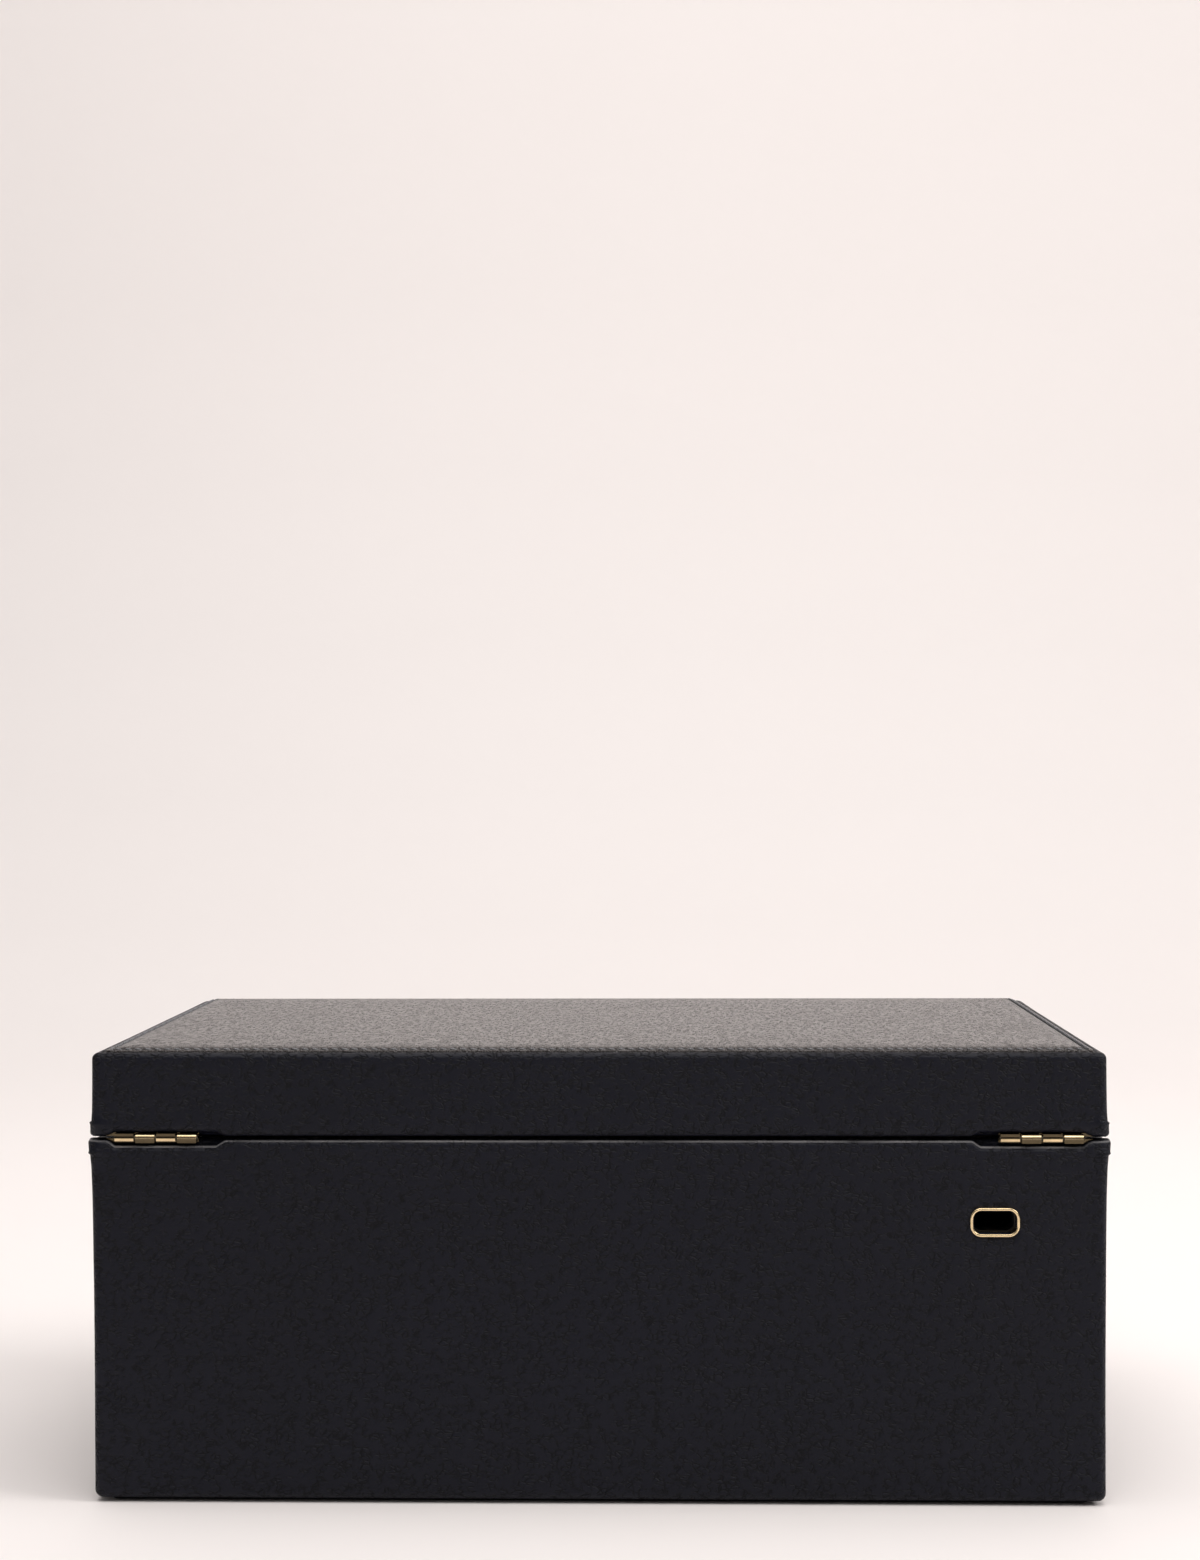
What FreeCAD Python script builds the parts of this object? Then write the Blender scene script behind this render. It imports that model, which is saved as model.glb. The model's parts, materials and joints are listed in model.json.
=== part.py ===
"""A leather-covered jewellery case: lid with mirror, fitted compartments, drawer, box lock and cable port.

Millimetres. +Z up, +X to the right of someone facing the front. -Y is the front, with the drawer and the
lock, and +Y is the back, with the hinges and the cable port. The origin is the centre of the underside pad,
on the surface that the case stands on.
Each function returns the solids of one group of pieces as {node name: shape}.
"""
import FreeCAD, Part
import math
import os

V = FreeCAD.Vector
X_DIR, Y_DIR, Z_DIR = V(1, 0, 0), V(0, 1, 0), V(0, 0, 1)

# ---- Driving dimensions: the outside ----
case_width = 305.0          # X, over the leather
case_depth = 190.0          # Y, over the leather
base_height = 109.6         # resting surface to the base's rim
lid_height = 25.2           # lid's lower rim to the edge of its top
parting_gap = 1.2           # between the two rims, closed
leather = 1.2               # cover leather on the faces
rim_leather = 0.8           # the same leather, pared where it turns over a rim
corner_radius = 2.5         # upright corners, over the leather
foot_radius = 2.4           # bottom edge, over the leather
rim_radius = 1.6            # outer edge of both rims
lid_top_radius = 2.2        # top edge of the lid

# ---- Boards and linings ----
wall_board = 8.0
floor_board = 6.0
shelf_board = 5.0
lid_board = 6.0
lining = 1.5                # suede on card
pad_thickness = 1.2         # underside pad
pad_inset = 4.0
turn_under = 12.0           # leather turned under the floor board
turn_over_top = 14.0        # leather turned over the lid's top board
lining_below_rim = 0.6

# ---- Lid top panel and mirror ----
panel_inset = 2.6           # from the lid's sides to the panel's edge
panel_edge = 1.0            # thickness at its stitched border
panel_crown = 0.8           # rise of the padded middle over the border
panel_slope = 25.0          # width over which it rises
panel_corner = 3.0
mirror_width, mirror_depth, mirror_glass = 196.0, 112.0, 2.8
mirror_cover = 3.0          # frame's overlap on the glass
mirror_frame_depth = 6.5
mirror_slack = 0.2

# ---- Hinges ----
hinge_length = 25.4
hinge_from_side = 18.9      # from the side face to the middle of each barrel
hinge_inset = 1.3           # from the back face to the pin's axis
knuckle_radius = 1.4
knuckle_count = 4
knuckle_gap = 0.6
shoulder = 1.6              # height of each knuckle's square shoulder
shoulder_inset = 0.15       # from the back of the barrel to the shoulder's flat face
pin_radius = 0.75
pin_fit_fixed, pin_fit_moving = 0.02, 0.05
leaf = 1.0
leaf_back_leg = 5.8         # width of the leg along the back rim
leaf_side_leg = 5.0         # width of the leg along the side rim
leaf_side_length = 24.0
leaf_to_side = 3.5          # from the side face to the leaf's end
leaf_clearance = 0.2
knuckle_clearance = 0.3

# ---- Hinge notches in the rims ----
notch_from_side = 40.0      # from the side face to where the slope begins
notch_slope = 2.8
notch_end_wall = 2.5        # left at the side face
notch_in_base, notch_in_lid = 1.7, 1.2
notch_width = 3.4           # from the back face inwards
notch_lining = 0.6          # leather left in the notch

# ---- Screws ----
screw_radius, screw_length = 0.8, 9.0
screw_head_radius, screw_head = 1.5, 0.75
screw_slack = 0.05
hinge_screw_in, hinge_screw_pitch = 3.8, 11.2   # along the back leg, from its start
side_screw_in = 4.0         # from the end of the side leg
lock_screw_in = 2.6         # from the end of the selvedge

# ---- Cable port ----
port_from_side = 33.1       # from the side face to the port's middle
port_below_rim = 24.4
port_width, port_tall, port_radius = 12.6, 6.5, 2.7
bezel_band = 1.15           # width of the ring on the leather
bezel_proud, bezel_round = 0.6, 0.36
bezel_sleeve = 5.0
sleeve_wall = 0.4
port_flange_band, port_flange = 1.9, 1.0
port_slack = 0.05

# ---- Drawer ----
drawer_opening_top = 54.0
drawer_reveal = 0.8         # between the drawer front and its opening
drawer_lift = 0.4           # running clearance under the drawer
drawer_front_round = 1.0
drawer_board = 5.0
drawer_bottom_board = 4.0
drawer_back_gap = 13.8      # between the drawer's back and the base's back board, closed
drawer_headroom = 5.0       # between the drawer's sides and the shelf
drawer_lining = 1.2
drawer_divider_height = 30.0
drawer_divider_at = 45.0
drawer_cross_at = -10.0
divider = 3.0
knob_foot, knob_foot_long = 5.0, 1.2         # radius and length of each stage of the turned knob
knob_neck, knob_neck_long = 2.6, 4.2
knob_head, knob_head_long = 6.5, 5.4
knob_screw_radius, knob_screw_head, knob_screw_head_long = 1.5, 2.8, 2.0
knob_thread, knob_screw_slot = 3.0, 0.8

# ---- Compartments above the shelf ----
divider_below_rim = 8.0
charging_bay_width, charging_bay_depth = 68.3, 71.3
ring_bay_width = 101.8
earring_below_rim = 12.0
halving_slack = 0.1
ring_bed_height = 16.0
ring_roll_pitch = 21.0      # about this far apart, so that whole rolls fill the depth
ring_roll_side = 12.8       # each roll's straight height, under its half-round top
ring_roll_gap = 0.5
ring_end_gap = 0.8
pillow_height, pillow_round = 36.0, 11.0
pillow_side_gap, pillow_end_gap = 2.875, 2.5

# ---- Lock ----
lock_below_rim = 14.0       # from the rim to the plug's axis
lock_width, lock_thick, lock_tall, lock_wall = 34.0, 6.4, 24.0, 0.8
selvedge_width, selvedge_deep = 42.0, 7.0
lock_slack = 0.1
lock_board_left = 0.7       # board left between the lock and the lining
plug_radius, plug_proud = 3.6, 1.4
plug_slack = 0.1
cam_radius, cam_pin_radius = 3.0, 0.7
key_turn = 90.0
bolt_thick = 1.4
bolt_slot_slack = 0.3
prong_at, prong_thick, prong_wide, prong_long = 8.0, 2.0, 3.4, 10.3
prong_slot_slack = 0.6
eye_wide, eye_slack = 2.0, 0.6                 # the hole in the prong that the bolt's beak enters
bolt_over_plug, bolt_tall = 1.2, 9.2           # the bolt's lower edge over the plug's axis, and its height
beak_over_plug, beak_tall = 7.0, 2.4           # the same for its beak
bolt_left, bolt_right, beak_tip = -9.0, 2.5, 6.0
escutcheon_width, escutcheon_tall, escutcheon_round, escutcheon_thick = 15.0, 22.0, 6.5, 0.8
lock_edge_round = 0.4       # front edges of the escutcheon and the plug
key_shaft_radius, key_shaft_slack = 1.4, 0.1
key_end_gap = 1.2           # between the shaft's end and the end of its bore
key_collar_band, key_collar_long, key_collar_in = 0.7, 1.6, 1.0
bow_on_shaft = 1.2          # overlap of the bow on the shaft
key_shaft_out = 9.0         # bare shaft in front of the plug
bow_width, bow_tall, bow_thick, bow_edge_round, bow_hole_share = 15.0, 12.0, 2.2, 0.66, 0.55

# ---- Worked out from the above ----
half_w, half_d = case_width / 2, case_depth / 2
board_w, board_d = half_w - leather, half_d - leather          # outer faces of the boards
inner_w, inner_d = board_w - wall_board, board_d - wall_board  # inner faces of the boards
lined_w, lined_d = inner_w - lining, inner_d - lining          # inner faces of the linings
floor_low = pad_thickness
floor_top = floor_low + floor_board
bay_floor = floor_top + leather
base_board_top = base_height - rim_leather
shelf_low = drawer_opening_top
shelf_top = shelf_low + shelf_board
compartment_floor = shelf_top + lining
rail_low = drawer_opening_top + leather
lid_low = base_height + parting_gap
lid_rim_top = lid_low + lid_height
lid_board_low = lid_low + rim_leather
lid_board_top = lid_rim_top - leather
lid_top_low = lid_board_top - lid_board
divider_top = base_height - divider_below_rim
earring_top = base_height - earring_below_rim
lock_height = base_height - lock_below_rim
bolt_low, bolt_high = lock_height + bolt_over_plug, lock_height + bolt_over_plug + bolt_tall
beak_low, beak_high = lock_height + beak_over_plug, lock_height + beak_over_plug + beak_tall
eye_low, eye_high = beak_low - eye_slack, beak_high + eye_slack
axis_y, axis_z = half_d - hinge_inset, base_height + parting_gap / 2
hinge_centre = half_w - hinge_from_side
notch_start = half_w - notch_from_side
hinge_right_start = hinge_centre - hinge_length / 2
leaf_outer = half_w - leaf_to_side
leaf_back = axis_y - knuckle_radius - knuckle_clearance
port_from_middle, port_height = half_w - port_from_side, base_height - port_below_rim
left_divider_at = charging_bay_width + divider / 2 - lined_w
right_divider_at = lined_w - ring_bay_width - divider / 2
charging_divider_at = lined_d - charging_bay_depth - divider / 2
earring_long_at = left_divider_at - (charging_bay_width + divider) / 2
earring_cross_at = (charging_divider_at - divider / 2 - lined_d) / 2
opening_w = inner_w - leather
drawer_length = 2 * inner_d - drawer_back_gap
drawer_side_height = drawer_opening_top - drawer_headroom - bay_floor - drawer_lift - drawer_bottom_board
knob_height = (bay_floor + drawer_opening_top) / 2
cam_swing = 2 * cam_radius * math.sin(math.radians(key_turn / 2))
cam_start = -cam_swing / 2
lock_back = -inner_d - lock_board_left
lock_front = lock_back - lock_thick
lock_middle = (lock_back + lock_front) / 2
beyond = 5.0                # how far a cutting tool runs past a face


def block(x, y, z):
    """A box between the (low, high) pairs x, y and z."""
    return Part.makeBox(x[1] - x[0], y[1] - y[0], z[1] - z[0], V(x[0], y[0], z[0]))


def edges_level(shape, z):
    """The edges that lie at height z."""
    return [e for e in shape.Edges if abs(e.BoundBox.ZMin - z) < 1e-6 and abs(e.BoundBox.ZMax - z) < 1e-6]


def edges_facing(shape, y):
    """The edges that lie in the plane at y."""
    return [e for e in shape.Edges if abs(e.BoundBox.YMin - y) < 1e-6 and abs(e.BoundBox.YMax - y) < 1e-6]


def upright_edges(shape):
    """The straight edges that run along Z."""
    return [e for e in shape.Edges if e.BoundBox.XLength < 1e-6 and e.BoundBox.YLength < 1e-6]


def soft_block(half_x, half_y, z, upright, low=0.0, high=0.0):
    """A box about the Z axis with rounded upright edges, and rounded lower and upper edges if asked."""
    shape = block((-half_x, half_x), (-half_y, half_y), z)
    shape = shape.makeFillet(upright, upright_edges(shape))
    if low:
        shape = shape.makeFillet(low, edges_level(shape, z[0]))
    if high:
        shape = shape.makeFillet(high, edges_level(shape, z[1]))
    return shape


def prism_y(points, y):
    """A polygon of (x, z) points, drawn out along Y."""
    wire = Part.makePolygon([V(px, y[0], pz) for px, pz in points + points[:1]])
    return Part.Face(wire).extrude(V(0, y[1] - y[0], 0))


def slot_y(at_x, at_z, width, tall, radius, y):
    """A rounded rectangle about (at_x, at_z), drawn out along Y."""
    shape = block((at_x - width / 2, at_x + width / 2), y, (at_z - tall / 2, at_z + tall / 2))
    corners = [e for e in shape.Edges if e.BoundBox.XLength < 1e-6 and e.BoundBox.ZLength < 1e-6]
    return shape.makeFillet(radius, corners)


def rod(radius, start, direction, length):
    return Part.makeCylinder(radius, length, start, direction)


def joined(shapes):
    """One shape from several that touch or overlap."""
    shapes = list(shapes)
    return shapes[0].fuse(shapes[1:]).removeSplitter()


def side_by_side(shapes):
    """Separate solids kept in one node."""
    return Part.makeCompound(list(shapes))


# ---- Outlines that several pieces share ----
def base_outside():
    return soft_block(half_w, half_d, (floor_low, base_height), corner_radius, foot_radius, rim_radius)


def base_core():
    """What the boards of the base fill together, before it is divided."""
    core = soft_block(board_w, board_d, (floor_low + leather, base_board_top), corner_radius - leather,
                      foot_radius - leather, rim_radius - leather)
    middle = block((turn_under - board_w, board_w - turn_under), (turn_under - board_d, board_d - turn_under),
                   (floor_low, floor_low + leather + 1.0))
    return joined([core, middle])


def lid_outside():
    return soft_block(half_w, half_d, (lid_low, lid_rim_top), corner_radius, rim_radius, lid_top_radius)


def lid_core():
    return soft_block(board_w, board_d, (lid_board_low, lid_board_top), corner_radius - leather,
                      rim_radius - leather, lid_top_radius - leather)


def notches(rim, depth, way, spare):
    """Both hinge notches in a rim at height rim, cut depth deep towards way, spare mm larger all round."""
    tools = []
    for side in (1, -1):
        inner, slope = side * (notch_start - spare), side * notch_slope
        outer, floor = side * (half_w - notch_end_wall), rim + way * (depth + spare)
        points = [(inner, rim - way * 0.5), (inner, rim), (inner + slope, floor), (outer, floor),
                  (outer, rim - way * 0.5)]
        tools.append(prism_y(points, (half_d - notch_width - spare, half_d + beyond)))
    return tools


def base_notches(spare=0.0):
    return notches(base_height, notch_in_base, -1, spare)


def lid_notches(spare=0.0):
    return notches(lid_low, notch_in_lid, 1, spare)


def port_hole(y, spare=port_slack):
    return slot_y(-port_from_middle, port_height, port_width + 2 * (sleeve_wall + spare),
                  port_tall + 2 * (sleeve_wall + spare), port_radius + sleeve_wall, y)


# ---- Screws ----
def screw(at, way, extra=0.0):
    """A countersunk screw with its head's face at the point at, pointing along way (+1 up, -1 down)."""
    down = V(0, 0, way)
    head = Part.makeCone(screw_head_radius + extra, screw_radius + extra, screw_head, at, down)
    return joined([head, rod(screw_radius + extra, at, down, screw_length + extra)])


def hinge_screw_places():
    """(x, y) of the six screws in the two leaves on one rim."""
    back_leg = leaf_back - leaf_back_leg / 2
    places = []
    for side in (1, -1):
        first = hinge_right_start + hinge_screw_in
        places += [(side * first, back_leg), (side * (first + hinge_screw_pitch), back_leg)]
        places.append((side * (leaf_outer - leaf_side_leg / 2), leaf_back - leaf_side_length + side_screw_in))
    return places


def lock_screw_places():
    return [(side * (selvedge_width / 2 - lock_screw_in), lock_middle) for side in (1, -1)]


def base_screw_shapes(extra=0.0):
    face = base_board_top + leaf
    places = hinge_screw_places() + lock_screw_places()
    return [screw(V(x, y, face), -1, extra) for x, y in places]


def lid_screw_shapes(extra=0.0):
    face = lid_board_low - leaf
    places = hinge_screw_places() + lock_screw_places()
    return [screw(V(x, y, face), 1, extra) for x, y in places]


# ---- Base ----
def lock_pocket(spare):
    return block((-lock_width / 2 - spare, lock_width / 2 + spare), (lock_front - spare, lock_back + spare),
                 (base_board_top - lock_tall - spare, base_height + beyond))


def keyhole():
    """The way for the plug through the leather and the front rail."""
    return rod(plug_radius + plug_slack, V(0, -half_d - beyond, lock_height), Y_DIR, beyond + wall_board)


def base_boards():
    core = base_core()
    tall = (floor_top, base_height)
    rough = {
        "base_floor_board": block((-half_w, half_w), (-half_d, half_d), (0, floor_top)),
        "base_left_board": block((-half_w, -inner_w), (-half_d, half_d), tall),
        "base_right_board": block((inner_w, half_w), (-half_d, half_d), tall),
        "base_back_board": block((-inner_w, inner_w), (inner_d, half_d), tall),
        "base_front_rail": block((-inner_w, inner_w), (-half_d, -inner_d), (rail_low, base_height)),
    }
    tools = base_notches(notch_lining) + base_screw_shapes(screw_slack)
    tools += [port_hole((inner_d - beyond, half_d + beyond)), lock_pocket(lock_slack)]
    tools.append(keyhole())
    boards = {name: shape.common(core).cut(tools) for name, shape in rough.items()}
    boards["base_shelf"] = block((-inner_w, inner_w), (-inner_d, inner_d), (shelf_low, shelf_top))
    return boards


def leaf_outline(z, spare):
    """Both L-shaped leaves as seen from above, spare mm larger."""
    shapes = []
    for side in (1, -1):
        x = sorted((side * (hinge_right_start - spare), side * (leaf_outer + spare)))
        leg_x = sorted((side * (leaf_outer - leaf_side_leg - spare), side * (leaf_outer + spare)))
        back_leg = block(x, (leaf_back - leaf_back_leg - spare, leaf_back + spare), z)
        side_leg = block(leg_x, (leaf_back - leaf_side_length - spare, leaf_back + spare), z)
        shapes.append(back_leg.fuse(side_leg))
    return shapes


def selvedge_outline(z, spare):
    wide, deep = selvedge_width / 2 + spare, selvedge_deep / 2 + spare
    return block((-wide, wide), (lock_middle - deep, lock_middle + deep), z)


def base_cover(boards):
    """The leather over the base's outside, turned over the rim, under the floor and into the opening."""
    over_rim = (base_board_top - 0.5, base_height + beyond)
    cover = base_outside().cut(list(boards.values()))
    inside = block((-inner_w, inner_w), (-inner_d, inner_d), (floor_low, base_height + beyond))
    opening = block((-opening_w, opening_w), (-half_d - beyond, beyond - inner_d),
                    (bay_floor, drawer_opening_top))
    tools = [inside, opening, keyhole(), port_hole((inner_d, half_d + beyond))] + base_notches()
    tools += leaf_outline(over_rim, leaf_clearance) + [selvedge_outline(over_rim, leaf_clearance)]
    cover = cover.cut(tools)
    return {"base_leather": max(cover.Solids, key=lambda s: s.Volume)}


def lined_walls(z):
    """The lining of the four walls, as wide and deep in the base as in the lid: back, front, left, right."""
    return [block((-inner_w, inner_w), (lined_d, inner_d), z),
            block((-inner_w, inner_w), (-inner_d, -lined_d), z),
            block((-inner_w, -lined_w), (-lined_d, lined_d), z),
            block((lined_w, inner_w), (-lined_d, lined_d), z)]


def base_trim():
    pad = soft_block(half_w - pad_inset, half_d - pad_inset, (0, pad_thickness), pad_inset)
    bay = block((-inner_w, inner_w), (-inner_d, inner_d), (floor_top, bay_floor))
    floor = block((-lined_w, lined_w), (-lined_d, lined_d), (shelf_top, compartment_floor))
    tall = (shelf_top, base_height - lining_below_rim)
    walls = [wall.cut(port_hole((0, half_d))) for wall in lined_walls(tall)]
    return {"base_underside_pad": pad, "drawer_bay_liner": bay, "base_lining_floor": floor,
            "base_lining_walls": side_by_side(walls)}


def dividers():
    z = (compartment_floor, divider_top)
    low = (compartment_floor, earring_top)
    t = divider / 2
    long_d = block((earring_long_at - t, earring_long_at + t), (-lined_d, charging_divider_at - t), low)
    cross = block((-lined_w, left_divider_at - t), (earring_cross_at - t, earring_cross_at + t), low)
    half = (compartment_floor + earring_top) / 2
    s = t + halving_slack
    crossing = ((earring_long_at - s, earring_long_at + s), (earring_cross_at - s, earring_cross_at + s))
    return {
        "divider_left": block((left_divider_at - t, left_divider_at + t), (-lined_d, lined_d), z),
        "divider_right": block((right_divider_at - t, right_divider_at + t), (-lined_d, lined_d), z),
        "divider_middle": block((left_divider_at + t, right_divider_at - t), (-t, t), z),
        "divider_charging_bay": block((-lined_w, left_divider_at - t),
                                      (charging_divider_at - t, charging_divider_at + t), z),
        "earring_divider_long": long_d.cut(block(*crossing, (half, earring_top + 1))),
        "earring_divider_cross": cross.cut(block(*crossing, (compartment_floor - 1, half))),
    }


def ring_section():
    """The bed and the rolls that hold rings between them. Each roll is a flat-bottomed half-round bolster."""
    x = (right_divider_at + divider / 2 + ring_end_gap, lined_w - ring_end_gap)
    bed_top = compartment_floor + ring_bed_height
    bed = block(x, (ring_end_gap - lined_d, lined_d - ring_end_gap), (compartment_floor, bed_top))
    depth = 2 * (lined_d - ring_end_gap)
    count = round(depth / ring_roll_pitch)
    pitch = depth / count
    radius = (pitch - ring_roll_gap) / 2
    rolls = []
    for i in range(count):
        y = -lined_d + ring_end_gap + (i + 0.5) * pitch
        straight = block(x, (y - radius, y + radius), (bed_top, bed_top + ring_roll_side))
        crown = rod(radius, V(x[0], y, bed_top + ring_roll_side), X_DIR, x[1] - x[0])
        rolls.append(joined([straight, crown]))
    return {"ring_bed": bed, "ring_rolls": side_by_side(rolls)}


def watch_pillows():
    t = divider / 2
    low_x, high_x = left_divider_at + t, right_divider_at - t
    share = (high_x - low_x) / 2
    y = (-lined_d + pillow_end_gap, -t - pillow_end_gap)
    z = (compartment_floor, compartment_floor + pillow_height)
    made = {}
    for i, side in enumerate(("left", "right")):
        start = low_x + i * share
        shape = block((start + pillow_side_gap, start + share - pillow_side_gap), y, z)
        made["watch_pillow_" + side] = shape.makeFillet(pillow_round, shape.Edges)
    return made


# ---- Hinges ----
def knuckle_spans(side):
    """(low x, high x) of each knuckle, from the +X end. The first and third belong to the lid."""
    middle = side * hinge_centre
    pitch = hinge_length / knuckle_count
    spans = []
    for i in range(knuckle_count):
        high = middle + hinge_length / 2 - i * pitch
        spans.append((high - pitch + knuckle_gap / 2, high - knuckle_gap / 2))
    return spans


def knuckle(span, way, bore):
    """A barrel with a square shoulder on its leaf's side. way is -1 for the base's leaf, +1 for the lid's."""
    start, length = V(span[0], axis_y, axis_z), span[1] - span[0]
    outer = axis_z + way * knuckle_radius
    z = sorted((outer, outer - way * shoulder))
    square = block(span, (axis_y, axis_y + knuckle_radius - shoulder_inset), z)
    tongue_z = sorted((outer, outer - way * leaf))
    tongue = block(span, (leaf_back - 0.5, axis_y), tongue_z)
    barrel = rod(knuckle_radius, start, X_DIR, length)
    return joined([barrel, square, tongue]).cut(rod(pin_radius + bore, start, X_DIR, length))


def hinge_leaves(body, way, seat, bore, screw_holes):
    """Both L-shaped leaves of one body. seat is the height of the board's edge that they are screwed to."""
    z = sorted((seat, seat - way * leaf))
    owned = 1 if way < 0 else 0
    made = {}
    for side, plate in zip((1, -1), leaf_outline(z, 0.0)):
        knuckles = [knuckle(span, way, bore) for span in knuckle_spans(side)[owned::2]]
        shape = joined([plate] + knuckles).cut(screw_holes)
        made["hinge_leaf_%s_%s" % (body, "right" if side > 0 else "left")] = shape
    return made


def hinges():
    made = hinge_leaves("base", -1, base_board_top, pin_fit_fixed, base_screw_shapes(screw_slack))
    made.update(hinge_leaves("lid", 1, lid_board_low, pin_fit_moving, lid_screw_shapes(screw_slack)))
    for side, name in ((1, "right"), (-1, "left")):
        start = V(side * hinge_centre - hinge_length / 2, axis_y, axis_z)
        pin = rod(pin_radius, start, X_DIR, hinge_length)
        ends = [e for e in pin.Edges if e.BoundBox.XLength < 1e-6]
        made["hinge_pin_" + name] = pin.makeChamfer(0.15, ends)
    return made


# ---- Cable port ----
def cable_port():
    at = (-port_from_middle, port_height)
    band, sleeve_back = 2 * bezel_band, half_d - bezel_sleeve
    face = half_d + bezel_proud
    ring = slot_y(*at, port_width + band, port_tall + band, port_radius + bezel_band, (half_d, face))
    ring = ring.makeFillet(bezel_round, edges_facing(ring, face))
    sleeve = port_hole((sleeve_back, half_d), 0.0)
    passage = slot_y(*at, port_width, port_tall, port_radius, (inner_d - beyond, half_d + beyond))
    wide = 2 * port_flange_band
    liner = port_hole((lined_d, sleeve_back), 0.0)
    flange = slot_y(*at, port_width + wide, port_tall + wide, port_radius + port_flange_band,
                    (lined_d - port_flange, lined_d))
    return {
        "cable_port_bezel": ring.fuse(sleeve).cut(passage),
        "cable_port_liner": liner.fuse(flange).cut(passage),
    }


# ---- Lid ----
def lid_boards():
    core = lid_core()
    z = (lid_low, lid_top_low)
    rough = {
        "lid_top_board": block((-half_w, half_w), (-half_d, half_d), (lid_top_low, lid_rim_top)),
        "lid_left_board": block((-half_w, -inner_w), (-half_d, half_d), z),
        "lid_right_board": block((inner_w, half_w), (-half_d, half_d), z),
        "lid_back_board": block((-inner_w, inner_w), (inner_d, half_d), z),
        "lid_front_board": block((-inner_w, inner_w), (-half_d, -inner_d), z),
    }
    tools = lid_notches(notch_lining) + lid_screw_shapes(screw_slack)
    return {name: shape.common(core).cut(tools) for name, shape in rough.items()}


def lid_cover(boards):
    over_rim = (lid_low - beyond, lid_board_low + 0.5)
    cover = lid_outside().cut(list(boards.values()))
    inside = block((-inner_w, inner_w), (-inner_d, inner_d), (lid_low - beyond, lid_board_top - 1.0))
    bare_w, bare_d = board_w - turn_over_top, board_d - turn_over_top
    left_bare = ((-bare_w, bare_w), (-bare_d, bare_d))
    under_panel = block(*left_bare, (lid_board_top, lid_rim_top + beyond))
    tools = [inside, under_panel] + lid_notches()
    tools += leaf_outline(over_rim, leaf_clearance) + [selvedge_outline(over_rim, leaf_clearance)]
    cover = cover.cut(tools)
    foam = block(*left_bare, (lid_board_top, lid_rim_top))
    return {"lid_leather": max(cover.Solids, key=lambda s: s.Volume), "lid_top_foam": foam}


def rounded_wire(half_x, half_y, radius, z):
    """A rounded rectangle about the Z axis, as a wire at height z."""
    edges = []
    for i, (cx, cy) in enumerate(((1, 1), (-1, 1), (-1, -1), (1, -1))):
        centre = V(cx * (half_x - radius), cy * (half_y - radius), z)
        edges.append(Part.makeCircle(radius, centre, Z_DIR, 90 * i, 90 * i + 90))
    loop = []
    for i, arc in enumerate(edges):
        after = edges[(i + 1) % 4]
        loop += [arc, Part.makeLine(arc.valueAt(arc.LastParameter), after.valueAt(after.FirstParameter))]
    return Part.Wire(loop)


def lid_panel():
    half_x, half_y = half_w - panel_inset, half_d - panel_inset
    edge_top = lid_rim_top + panel_edge
    border = soft_block(half_x, half_y, (lid_rim_top, edge_top), panel_corner)
    wires = [rounded_wire(half_x, half_y, panel_corner, edge_top),
             rounded_wire(half_x - panel_slope, half_y - panel_slope, panel_corner, edge_top + panel_crown)]
    return {"lid_top_panel": joined([border, Part.makeLoft(wires, True, True)])}


def lid_inside():
    glass_z = (lid_top_low - mirror_glass, lid_top_low)
    mirror = block((-mirror_width / 2, mirror_width / 2), (-mirror_depth / 2, mirror_depth / 2), glass_z)
    frame = block((-lined_w, lined_w), (-lined_d, lined_d), (lid_top_low - mirror_frame_depth, lid_top_low))
    rebate_x, rebate_y = mirror_width / 2 + mirror_slack, mirror_depth / 2 + mirror_slack
    window_x, window_y = mirror_width / 2 - mirror_cover, mirror_depth / 2 - mirror_cover
    frame = frame.cut([block((-rebate_x, rebate_x), (-rebate_y, rebate_y), glass_z),
                       block((-window_x, window_x), (-window_y, window_y), (lid_low, lid_top_low))])
    z = (lid_low + lining_below_rim, lid_top_low)
    return {"lid_mirror": mirror, "lid_mirror_frame": frame, "lid_lining_walls": side_by_side(lined_walls(z))}


# ---- Lock ----
def prong_slot(spare, z):
    return block((prong_at - prong_thick / 2 - spare, prong_at + prong_thick / 2 + spare),
                 (lock_middle - prong_wide / 2 - spare, lock_middle + prong_wide / 2 + spare), z)


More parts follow.
